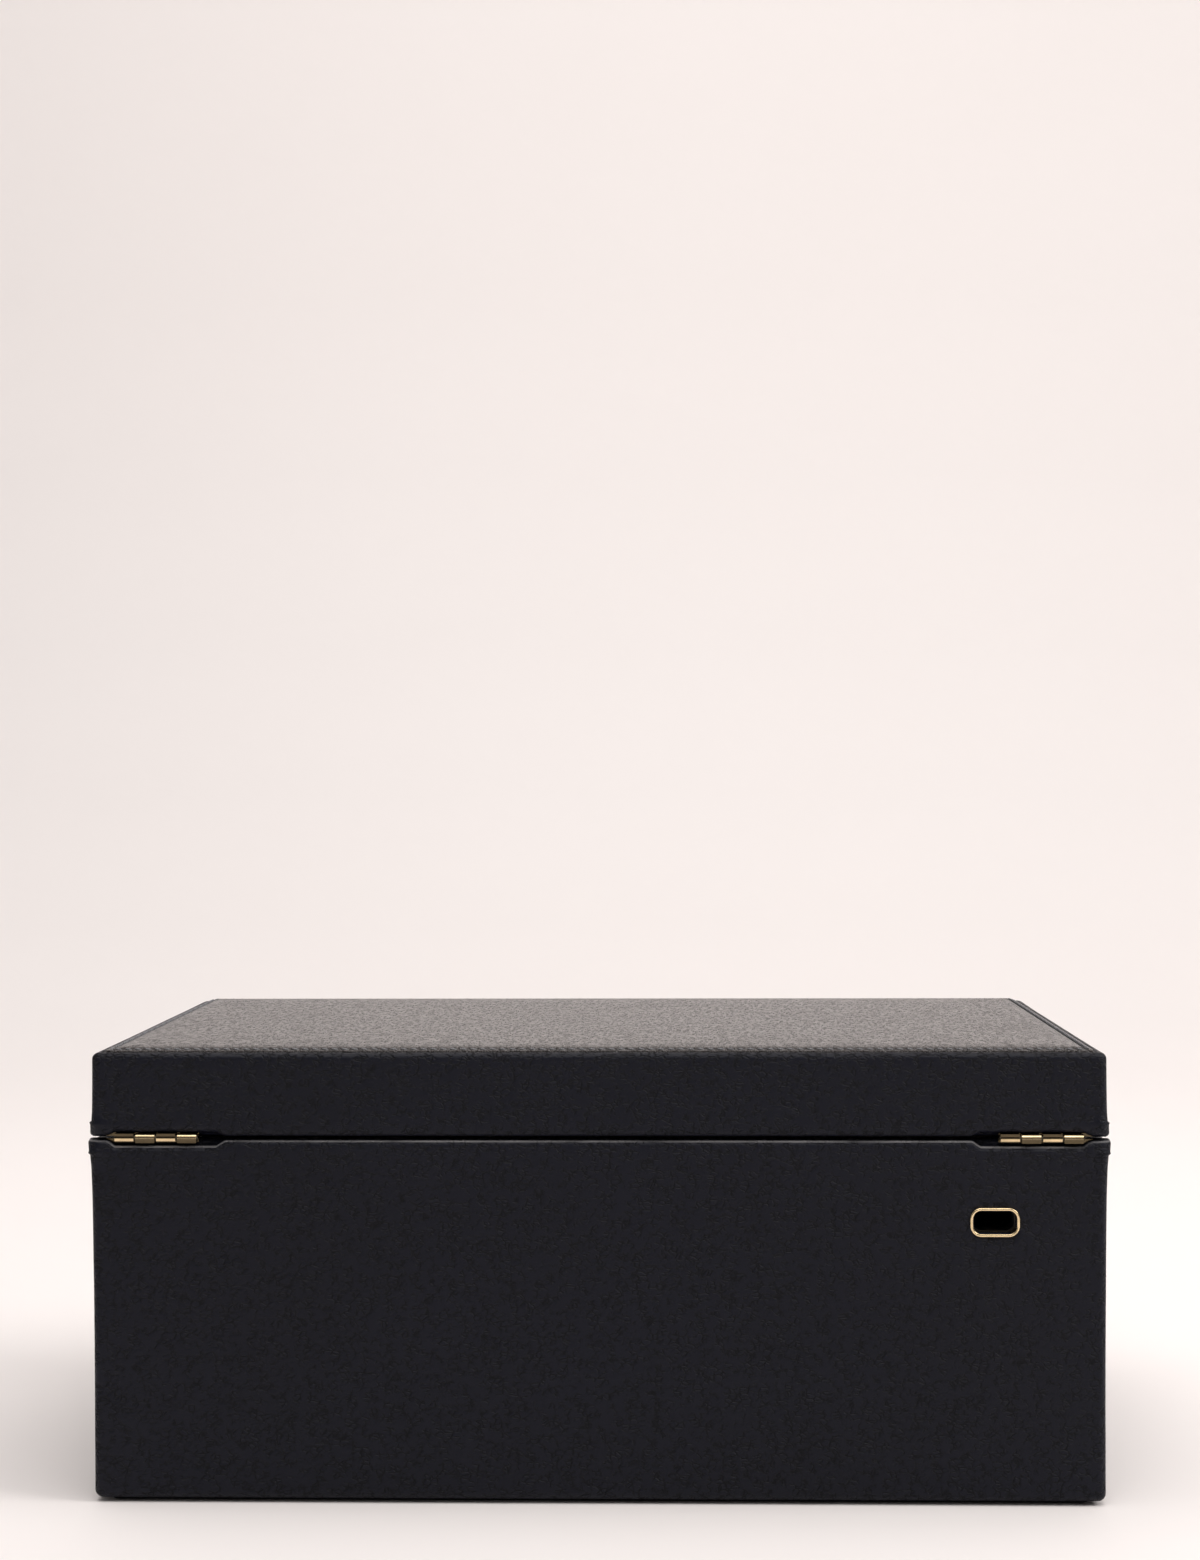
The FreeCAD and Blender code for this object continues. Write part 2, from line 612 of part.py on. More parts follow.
def lock():
    low = base_board_top - lock_tall
    case = lock_pocket(0.0).common(block((-half_w, half_w), (-half_d, half_d), (0, base_board_top)))
    selvedge = selvedge_outline((base_board_top, base_board_top + leaf), 0.0)
    hollow = block((lock_wall - lock_width / 2, lock_width / 2 - lock_wall),
                   (lock_front + lock_wall, lock_back - lock_wall),
                   (low + lock_wall, base_board_top - lock_wall))
    plug_hole = rod(plug_radius + plug_slack, V(0, lock_front - 1, lock_height), Y_DIR, 1 + 2 * lock_wall)
    slot = prong_slot(prong_slot_slack, (base_board_top - 2 * lock_wall, base_height + beyond))
    case = case.fuse(selvedge).cut([hollow, plug_hole, slot] + base_screw_shapes(screw_slack))

    bolt_y = (lock_middle - bolt_thick / 2, lock_middle + bolt_thick / 2)
    bolt = block((bolt_left, bolt_right), bolt_y, (bolt_low, bolt_high))
    bolt = bolt.fuse(block((bolt_right, beak_tip), bolt_y, (beak_low, beak_high)))
    slot_half = cam_pin_radius + bolt_slot_slack
    bolt = bolt.cut(block((cam_start - slot_half, cam_start + slot_half), (lock_front, lock_back),
                          (bolt_low - 1, lock_height + cam_radius + slot_half + 0.5)))

    face = -half_d - plug_proud
    plug_end = lock_front + 2 * lock_wall
    plug = rod(plug_radius, V(0, face, lock_height), Y_DIR, plug_end - face)
    plug = plug.makeFillet(lock_edge_round, edges_facing(plug, face))
    lean = math.radians(key_turn / 2)
    pin_at = V(-cam_radius * math.sin(lean), plug_end - 0.5, lock_height + cam_radius * math.cos(lean))
    cam_pin = rod(cam_pin_radius, pin_at, Y_DIR, lock_middle + bolt_thick - pin_at.y)
    shaft_bore = rod(key_shaft_radius + key_shaft_slack, V(0, face - 1, lock_height), Y_DIR, plug_end - face)
    plug = plug.fuse(cam_pin).cut(shaft_bore)

    escutcheon = slot_y(0, lock_height, escutcheon_width, escutcheon_tall, escutcheon_round,
                        (-half_d - escutcheon_thick, -half_d))
    escutcheon = escutcheon.makeFillet(lock_edge_round, edges_facing(escutcheon, -half_d - escutcheon_thick))
    plug_way = rod(plug_radius + plug_slack, V(0, -half_d - beyond, lock_height), Y_DIR, 2 * beyond)
    return {
        "lock_case": case,
        "lock_bolt": bolt,
        "lock_plug": plug,
        "lock_escutcheon": escutcheon.cut(plug_way),
    }


def key():
    """A barrel key in the plug, its oval bow upright."""
    face = -half_d - plug_proud
    inner = lock_front + 2 * lock_wall - key_end_gap
    shaft_out = face - key_shaft_out
    shaft = rod(key_shaft_radius, V(0, shaft_out, lock_height), Y_DIR, inner - shaft_out)
    collar_start = V(0, shaft_out + key_collar_in, lock_height)
    collar = rod(key_shaft_radius + key_collar_band, collar_start, Y_DIR, key_collar_long)
    bow_y = shaft_out - bow_width / 2 + bow_on_shaft
    bow = Part.Ellipse(V(0, bow_y, lock_height), bow_width / 2, bow_tall / 2)
    share = bow_hole_share / 2
    hole = Part.Ellipse(V(0, bow_y, lock_height), bow_width * share, bow_tall * share)
    plates = []
    for outline in (bow, hole):
        face_shape = Part.Face(Part.Wire([outline.toShape()]))
        face_shape.rotate(V(0, bow_y, lock_height), Z_DIR, 90)
        face_shape.rotate(V(0, bow_y, lock_height), Y_DIR, 90)
        face_shape.translate(V(-bow_thick / 2, 0, 0))
        plates.append(face_shape.extrude(V(bow_thick, 0, 0)))
    rims = [e for e in plates[0].Edges if e.BoundBox.YLength > 1]
    ring = plates[0].makeFillet(bow_edge_round, rims).cut(plates[1])
    return {"key": joined([shaft, collar, ring])}


def strike_plate():
    plate = selvedge_outline((lid_board_low - leaf, lid_board_low), 0.0)
    low = lid_board_low - leaf - prong_long
    prong = prong_slot(0.0, (low, lid_board_low - leaf))
    eye = block((prong_at - prong_thick, prong_at + prong_thick),
                (lock_middle - eye_wide / 2, lock_middle + eye_wide / 2), (eye_low, eye_high))
    return {"lock_strike_plate": joined([plate, prong]).cut([eye] + lid_screw_shapes(screw_slack))}


# ---- Drawer ----
def drawer():
    front_w = opening_w - drawer_reveal
    front_z = (bay_floor + drawer_reveal, drawer_opening_top - drawer_reveal)
    board_x, board_z = front_w - leather, (front_z[0] + leather, front_z[1] - leather)
    outside = block((-front_w, front_w), (-half_d, -inner_d), front_z)
    outside = outside.makeFillet(drawer_front_round, edges_facing(outside, -half_d))
    board = block((-board_x, board_x), (-board_d, -inner_d), board_z)
    screw_way = rod(knob_screw_radius + screw_slack, V(0, -half_d - beyond, knob_height), Y_DIR, 3 * beyond)
    head_front = V(0, -inner_d - knob_screw_head_long, knob_height)
    sink = rod(knob_screw_head + screw_slack, head_front, Y_DIR, knob_screw_head_long + beyond)
    cover = outside.cut([board, screw_way])

    bottom_low = bay_floor + drawer_lift
    bottom_top = bottom_low + drawer_bottom_board
    back_y = drawer_length - inner_d
    side_x = board_x - drawer_board
    side_z = (bottom_top, bottom_top + drawer_side_height)
    tray = block((-side_x, side_x), (-inner_d, back_y - drawer_board), side_z)
    hollow = block((drawer_lining - side_x, side_x - drawer_lining),
                   (drawer_lining - inner_d, back_y - drawer_board - drawer_lining),
                   (bottom_top + lining, side_z[1] + beyond))
    t = divider / 2
    inside_y = (drawer_lining - inner_d, back_y - drawer_board - drawer_lining)
    z = (bottom_top + lining, bottom_top + lining + drawer_divider_height)
    split = [block((at - t, at + t), inside_y, z) for at in (-drawer_divider_at, drawer_divider_at)]
    cross_x = (drawer_lining - side_x, -drawer_divider_at - t)
    split.append(block(cross_x, (drawer_cross_at - t, drawer_cross_at + t), z))
    return {
        "drawer_front_board": board.cut([screw_way, sink]),
        "drawer_front_leather": cover,
        "drawer_left_side": block((-board_x, -side_x), (-inner_d, back_y), side_z),
        "drawer_right_side": block((side_x, board_x), (-inner_d, back_y), side_z),
        "drawer_back": block((-side_x, side_x), (back_y - drawer_board, back_y), side_z),
        "drawer_bottom": block((-board_x, board_x), (-inner_d, back_y), (bottom_low, bottom_top)),
        "drawer_lining": tray.cut(hollow),
        "drawer_dividers": side_by_side(split),
    }


def drawer_pull():
    """A turned knob and the screw that holds it from inside the drawer front."""
    def at(radius, out):
        return V(radius, -half_d - out, knob_height)

    def curve(points):
        spline = Part.BSplineCurve()
        spline.interpolate(points)
        return spline.toShape()

    neck_end = knob_foot_long + knob_neck_long
    top = neck_end + knob_head_long
    foot_top = knob_foot - 0.6
    waist = curve([at(foot_top, knob_foot_long), at(knob_neck, (knob_foot_long + neck_end) / 2),
                   at(knob_neck + 0.6, neck_end)])
    crown = curve([at(knob_neck + 0.6, neck_end), at(knob_head * 0.93, neck_end + knob_head_long * 0.2),
                   at(knob_head, neck_end + knob_head_long * 0.42),
                   at(knob_head * 0.78, top - knob_head_long * 0.22), at(knob_head * 0.4, top - 0.25),
                   at(0, top)])
    base = Part.makeLine(at(0, 0), at(knob_foot, 0))
    foot = Part.makeLine(at(knob_foot, 0), at(foot_top, knob_foot_long))
    edges = [base, foot, waist, crown, Part.makeLine(at(0, top), at(0, 0))]
    knob = Part.Face(Part.Wire(edges)).revolve(at(0, 0), Y_DIR, 360)
    reach = knob_foot_long + knob_thread
    thread = rod(knob_screw_radius, at(0, reach), Y_DIR, reach + leather + wall_board)
    head_front = V(0, -inner_d - knob_screw_head_long, knob_height)
    head_disc = rod(knob_screw_head, head_front, Y_DIR, knob_screw_head_long)
    slot_half = knob_screw_slot / 2
    slot = block((-knob_screw_head, knob_screw_head), (-inner_d - knob_screw_slot, -inner_d + beyond),
                 (knob_height - slot_half, knob_height + slot_half))
    socket = rod(knob_screw_radius + screw_slack, at(0, reach + screw_slack), Y_DIR, reach + beyond)
    return {"drawer_knob": knob.cut(socket), "drawer_knob_screw": thread.fuse(head_disc).cut(slot)}


def all_nodes():
    nodes = base_boards()
    nodes.update(base_cover(nodes))
    lid = lid_boards()
    nodes.update(lid)
    nodes.update(lid_cover(lid))
    for group in (base_trim, dividers, ring_section, watch_pillows, hinges, cable_port, lid_panel, lid_inside,
                  lock, key, strike_plate, drawer, drawer_pull):
        nodes.update(group())
    nodes["base_screws"] = side_by_side(base_screw_shapes())
    nodes["lid_screws"] = side_by_side(lid_screw_shapes())
    return nodes


os.makedirs("parts", exist_ok=True)
for name, shape in sorted(all_nodes().items()):
    shape.exportStep("parts/%s.step" % name)
    print("%-24s %2d solids, valid %s, volume %.1f" % (name, len(shape.Solids), shape.isValid(), shape.Volume))
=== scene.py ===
import json
import math

import bmesh
import bpy
from mathutils import Matrix, Vector, noise


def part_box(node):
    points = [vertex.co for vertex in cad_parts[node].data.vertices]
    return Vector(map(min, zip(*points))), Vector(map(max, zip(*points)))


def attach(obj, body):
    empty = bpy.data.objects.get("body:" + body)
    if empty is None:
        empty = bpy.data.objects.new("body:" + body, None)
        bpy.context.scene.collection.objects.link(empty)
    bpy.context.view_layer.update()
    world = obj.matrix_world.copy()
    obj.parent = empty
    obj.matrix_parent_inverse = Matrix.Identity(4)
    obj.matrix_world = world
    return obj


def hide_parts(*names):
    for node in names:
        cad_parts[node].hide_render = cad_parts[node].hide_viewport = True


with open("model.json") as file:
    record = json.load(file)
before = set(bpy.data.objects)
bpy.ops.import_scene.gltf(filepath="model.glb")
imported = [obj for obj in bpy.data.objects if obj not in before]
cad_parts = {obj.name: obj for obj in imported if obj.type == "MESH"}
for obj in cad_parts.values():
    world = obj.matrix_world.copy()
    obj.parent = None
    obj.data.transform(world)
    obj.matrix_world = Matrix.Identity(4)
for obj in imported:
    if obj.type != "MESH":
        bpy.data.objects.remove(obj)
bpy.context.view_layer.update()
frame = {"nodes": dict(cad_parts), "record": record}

mm = 0.001


def smooth(t):
    """0 below 0, 1 above 1, and an even curve between."""
    t = min(max(t, 0.0), 1.0)
    return t * t * (3 - 2 * t)


# ---- Places taken from the frame ----
base_low, base_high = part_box("base_leather")
lid_low, lid_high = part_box("lid_leather")
front_low, front_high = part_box("drawer_front_leather")
port_low, port_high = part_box("cable_port_bezel")
hinge_low, hinge_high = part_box("hinge_pin_right")
half_w, half_d = base_high.x, base_high.y
rim, foot = base_high.z, base_low.z
lid_rim, lid_top = lid_low.z, lid_high.z
panel_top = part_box("lid_top_panel")[1].z
opening_low, opening_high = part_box("drawer_bay_liner")[1].z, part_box("base_shelf")[0].z


# ---- Camera, floor and light ----
slightly_warm = (1.0, 0.97, 0.95)


def camera():
    """Behind the case, a little above its lid and a little to one side."""
    data = bpy.data.cameras.new("camera")
    data.lens, data.sensor_width = 60.5, 36.0
    data.clip_start, data.clip_end = 0.02, 20.0
    cam = bpy.data.objects.new("camera", data)
    bpy.context.scene.collection.objects.link(cam)
    stand_off, aside, height = 0.789, -0.0228, 0.2178
    tilt, roll, turn = (math.radians(degrees) for degrees in (90.03, 0.173, 1.56))
    cam.location = (aside, half_d + stand_off, height)
    cam.rotation_euler = (tilt, roll, math.pi + turn)
    bpy.context.scene.camera = cam


def staging():
    """A pale floor that curves up into the wall behind, softly lit from above and the sides."""
    bm = bmesh.new()
    bmesh.ops.create_grid(bm, x_segments=8, y_segments=40, size=1.0)
    floor_front, bend_start, bend, wall_top, half_wide = 2.6, -1.1, 0.8, 3.2, 3.5
    floor_run, bend_run = floor_front - bend_start, bend * math.pi / 2
    whole = floor_run + bend_run + wall_top
    for v in bm.verts:
        along = (v.co.y + 1) / 2 * whole
        x = v.co.x * half_wide
        if along < floor_run:
            v.co = (x, floor_front - along, 0.0)
        elif along < floor_run + bend_run:
            angle = (along - floor_run) / bend
            v.co = (x, bend_start - bend * math.sin(angle), bend * (1 - math.cos(angle)))
        else:
            v.co = (x, bend_start - bend, bend + along - floor_run - bend_run)
    for f in bm.faces:
        f.smooth = True
    obj = bpy.data.objects.new("backdrop", bpy.data.meshes.new("backdrop"))
    bm.to_mesh(obj.data)
    bm.free()
    bpy.context.scene.collection.objects.link(obj)
    obj.data.materials.append(backdrop_paper())

    world = bpy.data.worlds.new("soft_surround")
    world.use_nodes = True
    surround = world.node_tree.nodes["Background"]
    surround.inputs["Color"].default_value = (1.0, 0.955, 0.94, 1)
    surround.inputs["Strength"].default_value = 0.11
    bpy.context.scene.world = world
    case_middle, wall_middle = (0, 0, 0.08), (0, bend_start - bend, 1.0)
    soft_light("floor_light", (-0.15, 0.95, 1.2), (-0.15, 0.95, 0), 1.0, 6.0)
    soft_light("top_light", (0.2, 0.2, 2.5), case_middle, 3.0, 42.5)
    soft_light("wall_light", (0, -0.25, 1.7), wall_middle, 1.8, 9.0)
    soft_light("key_light", (-2.0, 0.5, 1.7), case_middle, 1.2, 30.0)
    soft_light("left_light", (2.1, 1.3, 0.9), case_middle, 1.3, 2.2)
    soft_light("right_light", (-2.1, 1.5, 0.9), case_middle, 1.3, 3.0)
    bpy.context.scene.view_settings.view_transform = "Standard"


def soft_light(name, place, towards, size, power):
    """A square light, size metres across and power in watts, turned towards a point."""
    data = bpy.data.lights.new(name, "AREA")
    data.size, data.energy = size, power
    data.color = slightly_warm
    obj = bpy.data.objects.new(name, data)
    obj.location = place
    obj.rotation_euler = (Vector(towards) - Vector(place)).to_track_quat("-Z", "Y").to_euler()
    bpy.context.scene.collection.objects.link(obj)


# ---- Finishes ----
rim_highlight_shade = (0.20, 0.195, 0.20)              # a painted highlight: paler leather along the top of the base's rim, where its rounded edge catches the light


def new_finish(name, shade, roughness, **sockets):
    """A material with one Principled shader: (material, its nodes, its links, the shader)."""
    material = bpy.data.materials.new(name)
    material.use_nodes = True
    nodes, links = material.node_tree.nodes, material.node_tree.links
    shader = nodes["Principled BSDF"]
    shader.inputs["Base Color"].default_value = (*shade, 1)
    shader.inputs["Roughness"].default_value = roughness
    for socket, value in sockets.items():
        shader.inputs[socket.replace("_", " ")].default_value = value
    return material, nodes, links, shader


def new_group(name, inputs, outputs):
    """An empty shader group. inputs is {name: default number}, and each output is a number too."""
    group = bpy.data.node_groups.new(name, "ShaderNodeTree")
    group.interface.new_socket("Vector", in_out="INPUT", socket_type="NodeSocketVector")
    for label, value in inputs.items():
        socket = group.interface.new_socket(label, in_out="INPUT", socket_type="NodeSocketFloat")
        socket.default_value = value
    for label in outputs:
        group.interface.new_socket(label, in_out="OUTPUT", socket_type="NodeSocketFloat")
    return group, group.nodes.new("NodeGroupInput"), group.nodes.new("NodeGroupOutput")


def put_group(nodes, group, **values):
    """Places a shader group in a material, with its own values."""
    node = nodes.new("ShaderNodeGroup")
    node.node_tree = group
    for label, value in values.items():
        node.inputs[label.replace("_", " ")].default_value = value
    return node


def math_node(nodes, links, operation, a, b):
    """One sum of two values, each a number or a socket."""
    node = nodes.new("ShaderNodeMath")
    node.operation = operation
    for socket, value in zip(node.inputs, (a, b)):
        if isinstance(value, (int, float)):
            socket.default_value = value
        else:
            links.new(value, socket)
    return node.outputs["Value"]


def noise_node(nodes, links, vector, scale, detail=2.0, roughness=0.5):
    """Cloudy noise, with scale in blotches per metre."""
    node = nodes.new("ShaderNodeTexNoise")
    node.inputs["Detail"].default_value = detail
    node.inputs["Roughness"].default_value = roughness
    links.new(vector, node.inputs["Vector"])
    if isinstance(scale, (int, float)):
        node.inputs["Scale"].default_value = scale
    else:
        links.new(scale, node.inputs["Scale"])
    return node.outputs["Fac"]


def ramp_between(nodes, links, value, low, high):
    """0 where value is under low, 1 where it is over high."""
    node = nodes.new("ShaderNodeMapRange")
    node.inputs["From Min"].default_value, node.inputs["From Max"].default_value = low, high
    links.new(value, node.inputs["Value"])
    return node.outputs["Result"]


def stretched(nodes, links, vector, scale):
    """Coordinates scaled along each axis. Less than 1 draws a pattern out along that axis."""
    node = nodes.new("ShaderNodeMapping")
    node.inputs["Scale"].default_value = scale
    links.new(vector, node.inputs["Vector"])
    return node.outputs["Vector"]


def cell_edges(nodes, links, vector, scale):
    """How far each point is from the edge of its cell, with scale in cells per metre."""
    node = nodes.new("ShaderNodeTexVoronoi")
    node.feature = "DISTANCE_TO_EDGE"
    links.new(vector, node.inputs["Vector"])
    links.new(scale, node.inputs["Scale"])
    return node.outputs["Distance"]


def tinted(shade, share):
    """The same colour, darker or lighter."""
    return tuple(c * share for c in shade)


def colour_mix(nodes, links, factor, a, b):
    """Colour a where the factor is 0, b where it is 1. Each is a colour or a socket."""
    node = nodes.new("ShaderNodeMix")
    node.data_type = "RGBA"
    links.new(factor, node.inputs[0])
    for socket, value in ((node.inputs[6], a), (node.inputs[7], b)):
        if isinstance(value, tuple):
            socket.default_value = (*value, 1)
        else:
            links.new(value, socket)
    return node.outputs[2]


def value_mix(nodes, links, factor, a, b):
    """Number a where the factor is 0, b where it is 1."""
    node = nodes.new("ShaderNodeMapRange")
    node.inputs["To Min"].default_value, node.inputs["To Max"].default_value = a, b
    links.new(factor, node.inputs["Value"])
    return node.outputs["Result"]


def bumped(nodes, links, shader, height, distance):
    """Raises the surface by up to distance where height is 1."""
    bump = nodes.new("ShaderNodeBump")
    bump.inputs["Strength"].default_value = 1.0
    bump.inputs["Distance"].default_value = distance
    links.new(height, bump.inputs["Height"])
    links.new(bump.outputs["Normal"], shader.inputs["Normal"])


def object_coordinates(nodes):
    """Places on the piece, in metres."""
    return nodes.new("ShaderNodeTexCoord").outputs["Object"]


def pebble_group():
    """Pebbled leather: low domes, wider than tall, with creases between them that come and go."""
    group, source, sink = new_group("pebbled_grain",
                                    {"Pebbles per metre": 560.0, "Irregularity": 0.5},
                                    ("Height", "Crease", "Cloudiness"))
    nodes, links = group.nodes, group.links
    vector, scale = source.outputs["Vector"], source.outputs["Pebbles per metre"]
    squat = stretched(nodes, links, vector, (0.78, 0.78, 1.25))
    drift = nodes.new("ShaderNodeTexNoise")
    drift.inputs["Scale"].default_value = 300.0
    drift.inputs["Detail"].default_value = 2.0
    links.new(vector, drift.inputs["Vector"])
    pulled = nodes.new("ShaderNodeVectorMath")
    pulled.operation = "MULTIPLY_ADD"
    pulled.inputs[1].default_value = (2.0 * mm, 2.0 * mm, 2.0 * mm)
    links.new(drift.outputs["Color"], pulled.inputs[0])
    links.new(squat, pulled.inputs[2])
    cells = cell_edges(nodes, links, pulled.outputs["Vector"], scale)
    small_scale = math_node(nodes, links, "MULTIPLY", scale, 2.1)
    small = cell_edges(nodes, links, pulled.outputs["Vector"], small_scale)
    clusters = math_node(nodes, links, "MULTIPLY", scale, 0.6)
    cluster_noise = noise_node(nodes, links, vector, clusters, 2.0, 0.6)
    here = ramp_between(nodes, links, cluster_noise, 0.42, 0.56)
    dome = ramp_between(nodes, links, cells, 0.0, 0.22)
    groove = math_node(nodes, links, "SUBTRACT", 1.0, dome)
    crease = math_node(nodes, links, "MULTIPLY", groove, here)
    fine = math_node(nodes, links, "MULTIPLY", small, source.outputs["Irregularity"])
    depth = math_node(nodes, links, "MULTIPLY", crease, -1.0)
    height = math_node(nodes, links, "ADD", depth, fine)
    cloud = noise_node(nodes, links, vector, 16.0, 3.0, 0.55)
    links.new(height, sink.inputs["Height"])
    links.new(crease, sink.inputs["Crease"])
    links.new(cloud, sink.inputs["Cloudiness"])
    return group


def leather(name, shade, roughness, gleam, depth, pebbles, drawn=1.0):
    """Leather with so many pebbles per metre. drawn, when under 1, draws them out along Y."""
    material, nodes, links, shader = new_finish(name, shade, roughness, Specular_IOR_Level=gleam)
    grain = put_group(nodes, pebbled, Pebbles_per_metre=pebbles)
    along = stretched(nodes, links, object_coordinates(nodes), (1.0, drawn, 1.0))
    links.new(along, grain.inputs["Vector"])
    patch = colour_mix(nodes, links, grain.outputs["Cloudiness"],
                       tinted(shade, 0.8), tinted(shade, 1.25))
    # Creases painted darker: painted shade in the grooves between the pebbles.
    crease_shade = colour_mix(nodes, links, grain.outputs["Crease"], patch, tinted(shade, 0.3))
    # A painted highlight: paler leather wherever the mesh carries the rim highlight attribute.
    rim_highlight = nodes.new("ShaderNodeAttribute")
    rim_highlight.attribute_name = "rim_highlight"
    tarnish_and_highlight = colour_mix(nodes, links, rim_highlight.outputs["Fac"], crease_shade, rim_highlight_shade)
    links.new(tarnish_and_highlight, shader.inputs["Base Color"])
    gloss = value_mix(nodes, links, grain.outputs["Crease"], roughness, min(roughness + 0.25, 1.0))
    links.new(gloss, shader.inputs["Roughness"])
    bumped(nodes, links, shader, grain.outputs["Height"], depth)
    return material


def nap_group():
    """Suede and felt: fine fibres, brushed patches lighter and darker."""
    group, source, sink = new_group("cloth_nap", {"Fibres per metre": 2600.0},
                                    ("Height", "Brushed", "Speckle"))
    nodes, links = group.nodes, group.links
    vector, scale = source.outputs["Vector"], source.outputs["Fibres per metre"]
    fibre = noise_node(nodes, links, vector, scale, 3.0, 0.65)
    patches = noise_node(nodes, links, vector, 34.0, 3.0, 0.6)
    links.new(fibre, sink.inputs["Height"])
    links.new(ramp_between(nodes, links, patches, 0.35, 0.65), sink.inputs["Brushed"])
    links.new(ramp_between(nodes, links, fibre, 0.3, 0.7), sink.inputs["Speckle"])
    return group


def suede(name, shade, sheen=0.5):
    """Suede, or felt and foam where sheen is low."""
    material, nodes, links, shader = new_finish(name, shade, 0.95, Specular_IOR_Level=0.2)
    shader.inputs["Sheen Weight"].default_value = sheen
    shader.inputs["Sheen Roughness"].default_value = 0.45
    nap = put_group(nodes, napped)
    links.new(object_coordinates(nodes), nap.inputs["Vector"])
    brushed = colour_mix(nodes, links, nap.outputs["Brushed"],
                         tinted(shade, 0.80), tinted(shade, 1.16))
    speck = colour_mix(nodes, links, nap.outputs["Speckle"], tinted(shade, 0.72), brushed)
    links.new(speck, shader.inputs["Base Color"])
    bumped(nodes, links, shader, nap.outputs["Height"], 0.12 * mm)
    return material


def metal_group():
    """Handled metal: fine scratches along one way, duller patches, and painted shade past a height.
    """
    group, source, sink = new_group("handled_metal",
                                    {"Scratches per metre": 7000.0, "Patina starts": 10.0,
                                     "Patina full": 11.0},
                                    ("Scratch", "Tarnish", "Painted shade"))
    nodes, links = group.nodes, group.links
    vector = source.outputs["Vector"]
    lengthwise = stretched(nodes, links, vector, (0.05, 1.0, 1.0))
    scratch = noise_node(nodes, links, lengthwise, source.outputs["Scratches per metre"], 2.0, 0.6)
    tarnish = noise_node(nodes, links, vector, 240.0, 4.0, 0.6)
    split = nodes.new("ShaderNodeSeparateXYZ")
    links.new(vector, split.inputs["Vector"])
    painted_shade = nodes.new("ShaderNodeMapRange")
    links.new(split.outputs["Z"], painted_shade.inputs["Value"])
    links.new(source.outputs["Patina starts"], painted_shade.inputs["From Min"])
    links.new(source.outputs["Patina full"], painted_shade.inputs["From Max"])
    links.new(painted_shade.outputs["Result"], sink.inputs["Painted shade"])
    links.new(scratch, sink.inputs["Scratch"])
    links.new(ramp_between(nodes, links, tarnish, 0.38, 0.68), sink.inputs["Tarnish"])
    return group


def metal(name, shade, roughness, wear=0.72, **painted_shade):
    """Handled metal. wear is how dark its tarnish is; the keyword heights bound where it is painted
    dark, as shade.
    """
    material, nodes, links, shader = new_finish(name, shade, roughness, Metallic=1.0)
    worked = put_group(nodes, handled, **painted_shade)
    links.new(object_coordinates(nodes), worked.inputs["Vector"])
    tarnish_and_highlight = colour_mix(nodes, links, worked.outputs["Tarnish"], shade, tinted(shade, wear))
    # Painted shade: much darker past the given heights, standing in for shade on the hinge leaves.
    colour = colour_mix(nodes, links, worked.outputs["Painted shade"], tarnish_and_highlight, tinted(shade, 0.14))
    links.new(colour, shader.inputs["Base Color"])
    gloss = value_mix(nodes, links, worked.outputs["Tarnish"], roughness, roughness * 1.5)
    links.new(gloss, shader.inputs["Roughness"])
    bumped(nodes, links, shader, worked.outputs["Scratch"], 0.003 * mm)
    return material


def board_wood():
    """Plain sanded board, its figure along X."""
    material, nodes, links, shader = new_finish("sanded_board", (0.42, 0.30, 0.19), 0.6)
    lengthwise = stretched(nodes, links, object_coordinates(nodes), (0.06, 1.0, 1.0))
    figure = noise_node(nodes, links, lengthwise, 260.0, 5.0, 0.6)
    colour = colour_mix(nodes, links, figure, (0.30, 0.20, 0.12), (0.56, 0.42, 0.28))
    links.new(colour, shader.inputs["Base Color"])
    links.new(value_mix(nodes, links, figure, 0.5, 0.72), shader.inputs["Roughness"])
    bumped(nodes, links, shader, figure, 0.05 * mm)
    return material


def black_plastic():
    """Moulded plastic with a fine satin texture."""
    material, nodes, links, shader = new_finish("black_plastic", (0.012, 0.012, 0.013), 0.5)
    fleck = noise_node(nodes, links, object_coordinates(nodes), 1800.0, 2.0)
    colour = colour_mix(nodes, links, fleck, (0.008, 0.008, 0.009), (0.018, 0.018, 0.019))
    links.new(colour, shader.inputs["Base Color"])
    links.new(value_mix(nodes, links, fleck, 0.42, 0.6), shader.inputs["Roughness"])
    bumped(nodes, links, shader, fleck, 0.02 * mm)
    return material


def mirror_glass():
    """Mirror glass with a faint film in places."""
    glass_shade = (0.86, 0.87, 0.88)
    material, nodes, links, shader = new_finish("silvered_glass", glass_shade, 0.02, Metallic=1.0)
    film = noise_node(nodes, links, object_coordinates(nodes), 60.0, 4.0, 0.6)
    filmed = ramp_between(nodes, links, film, 0.45, 0.8)
    links.new(value_mix(nodes, links, filmed, 0.01, 0.07), shader.inputs["Roughness"])
    return material


def thread():
    """Waxed thread: two plies twisted round each other, with painted highlight and shade in bands
    along the twist.
    """
    material, nodes, links, shader = new_finish("waxed_thread", (0.16, 0.162, 0.175), 0.5)
    twist = nodes.new("ShaderNodeTexWave")
    twist.bands_direction = "DIAGONAL"
    twist.inputs["Scale"].default_value = 900.0
    twist.inputs["Distortion"].default_value = 1.0
    links.new(object_coordinates(nodes), twist.inputs["Vector"])
    # The lighter and darker bands are painted highlight and shade on the twisted plies.
    colour = colour_mix(nodes, links, twist.outputs["Fac"], (0.08, 0.08, 0.09), (0.24, 0.245, 0.26))
    links.new(colour, shader.inputs["Base Color"])
    bumped(nodes, links, shader, twist.outputs["Fac"], 0.06 * mm)
    return material


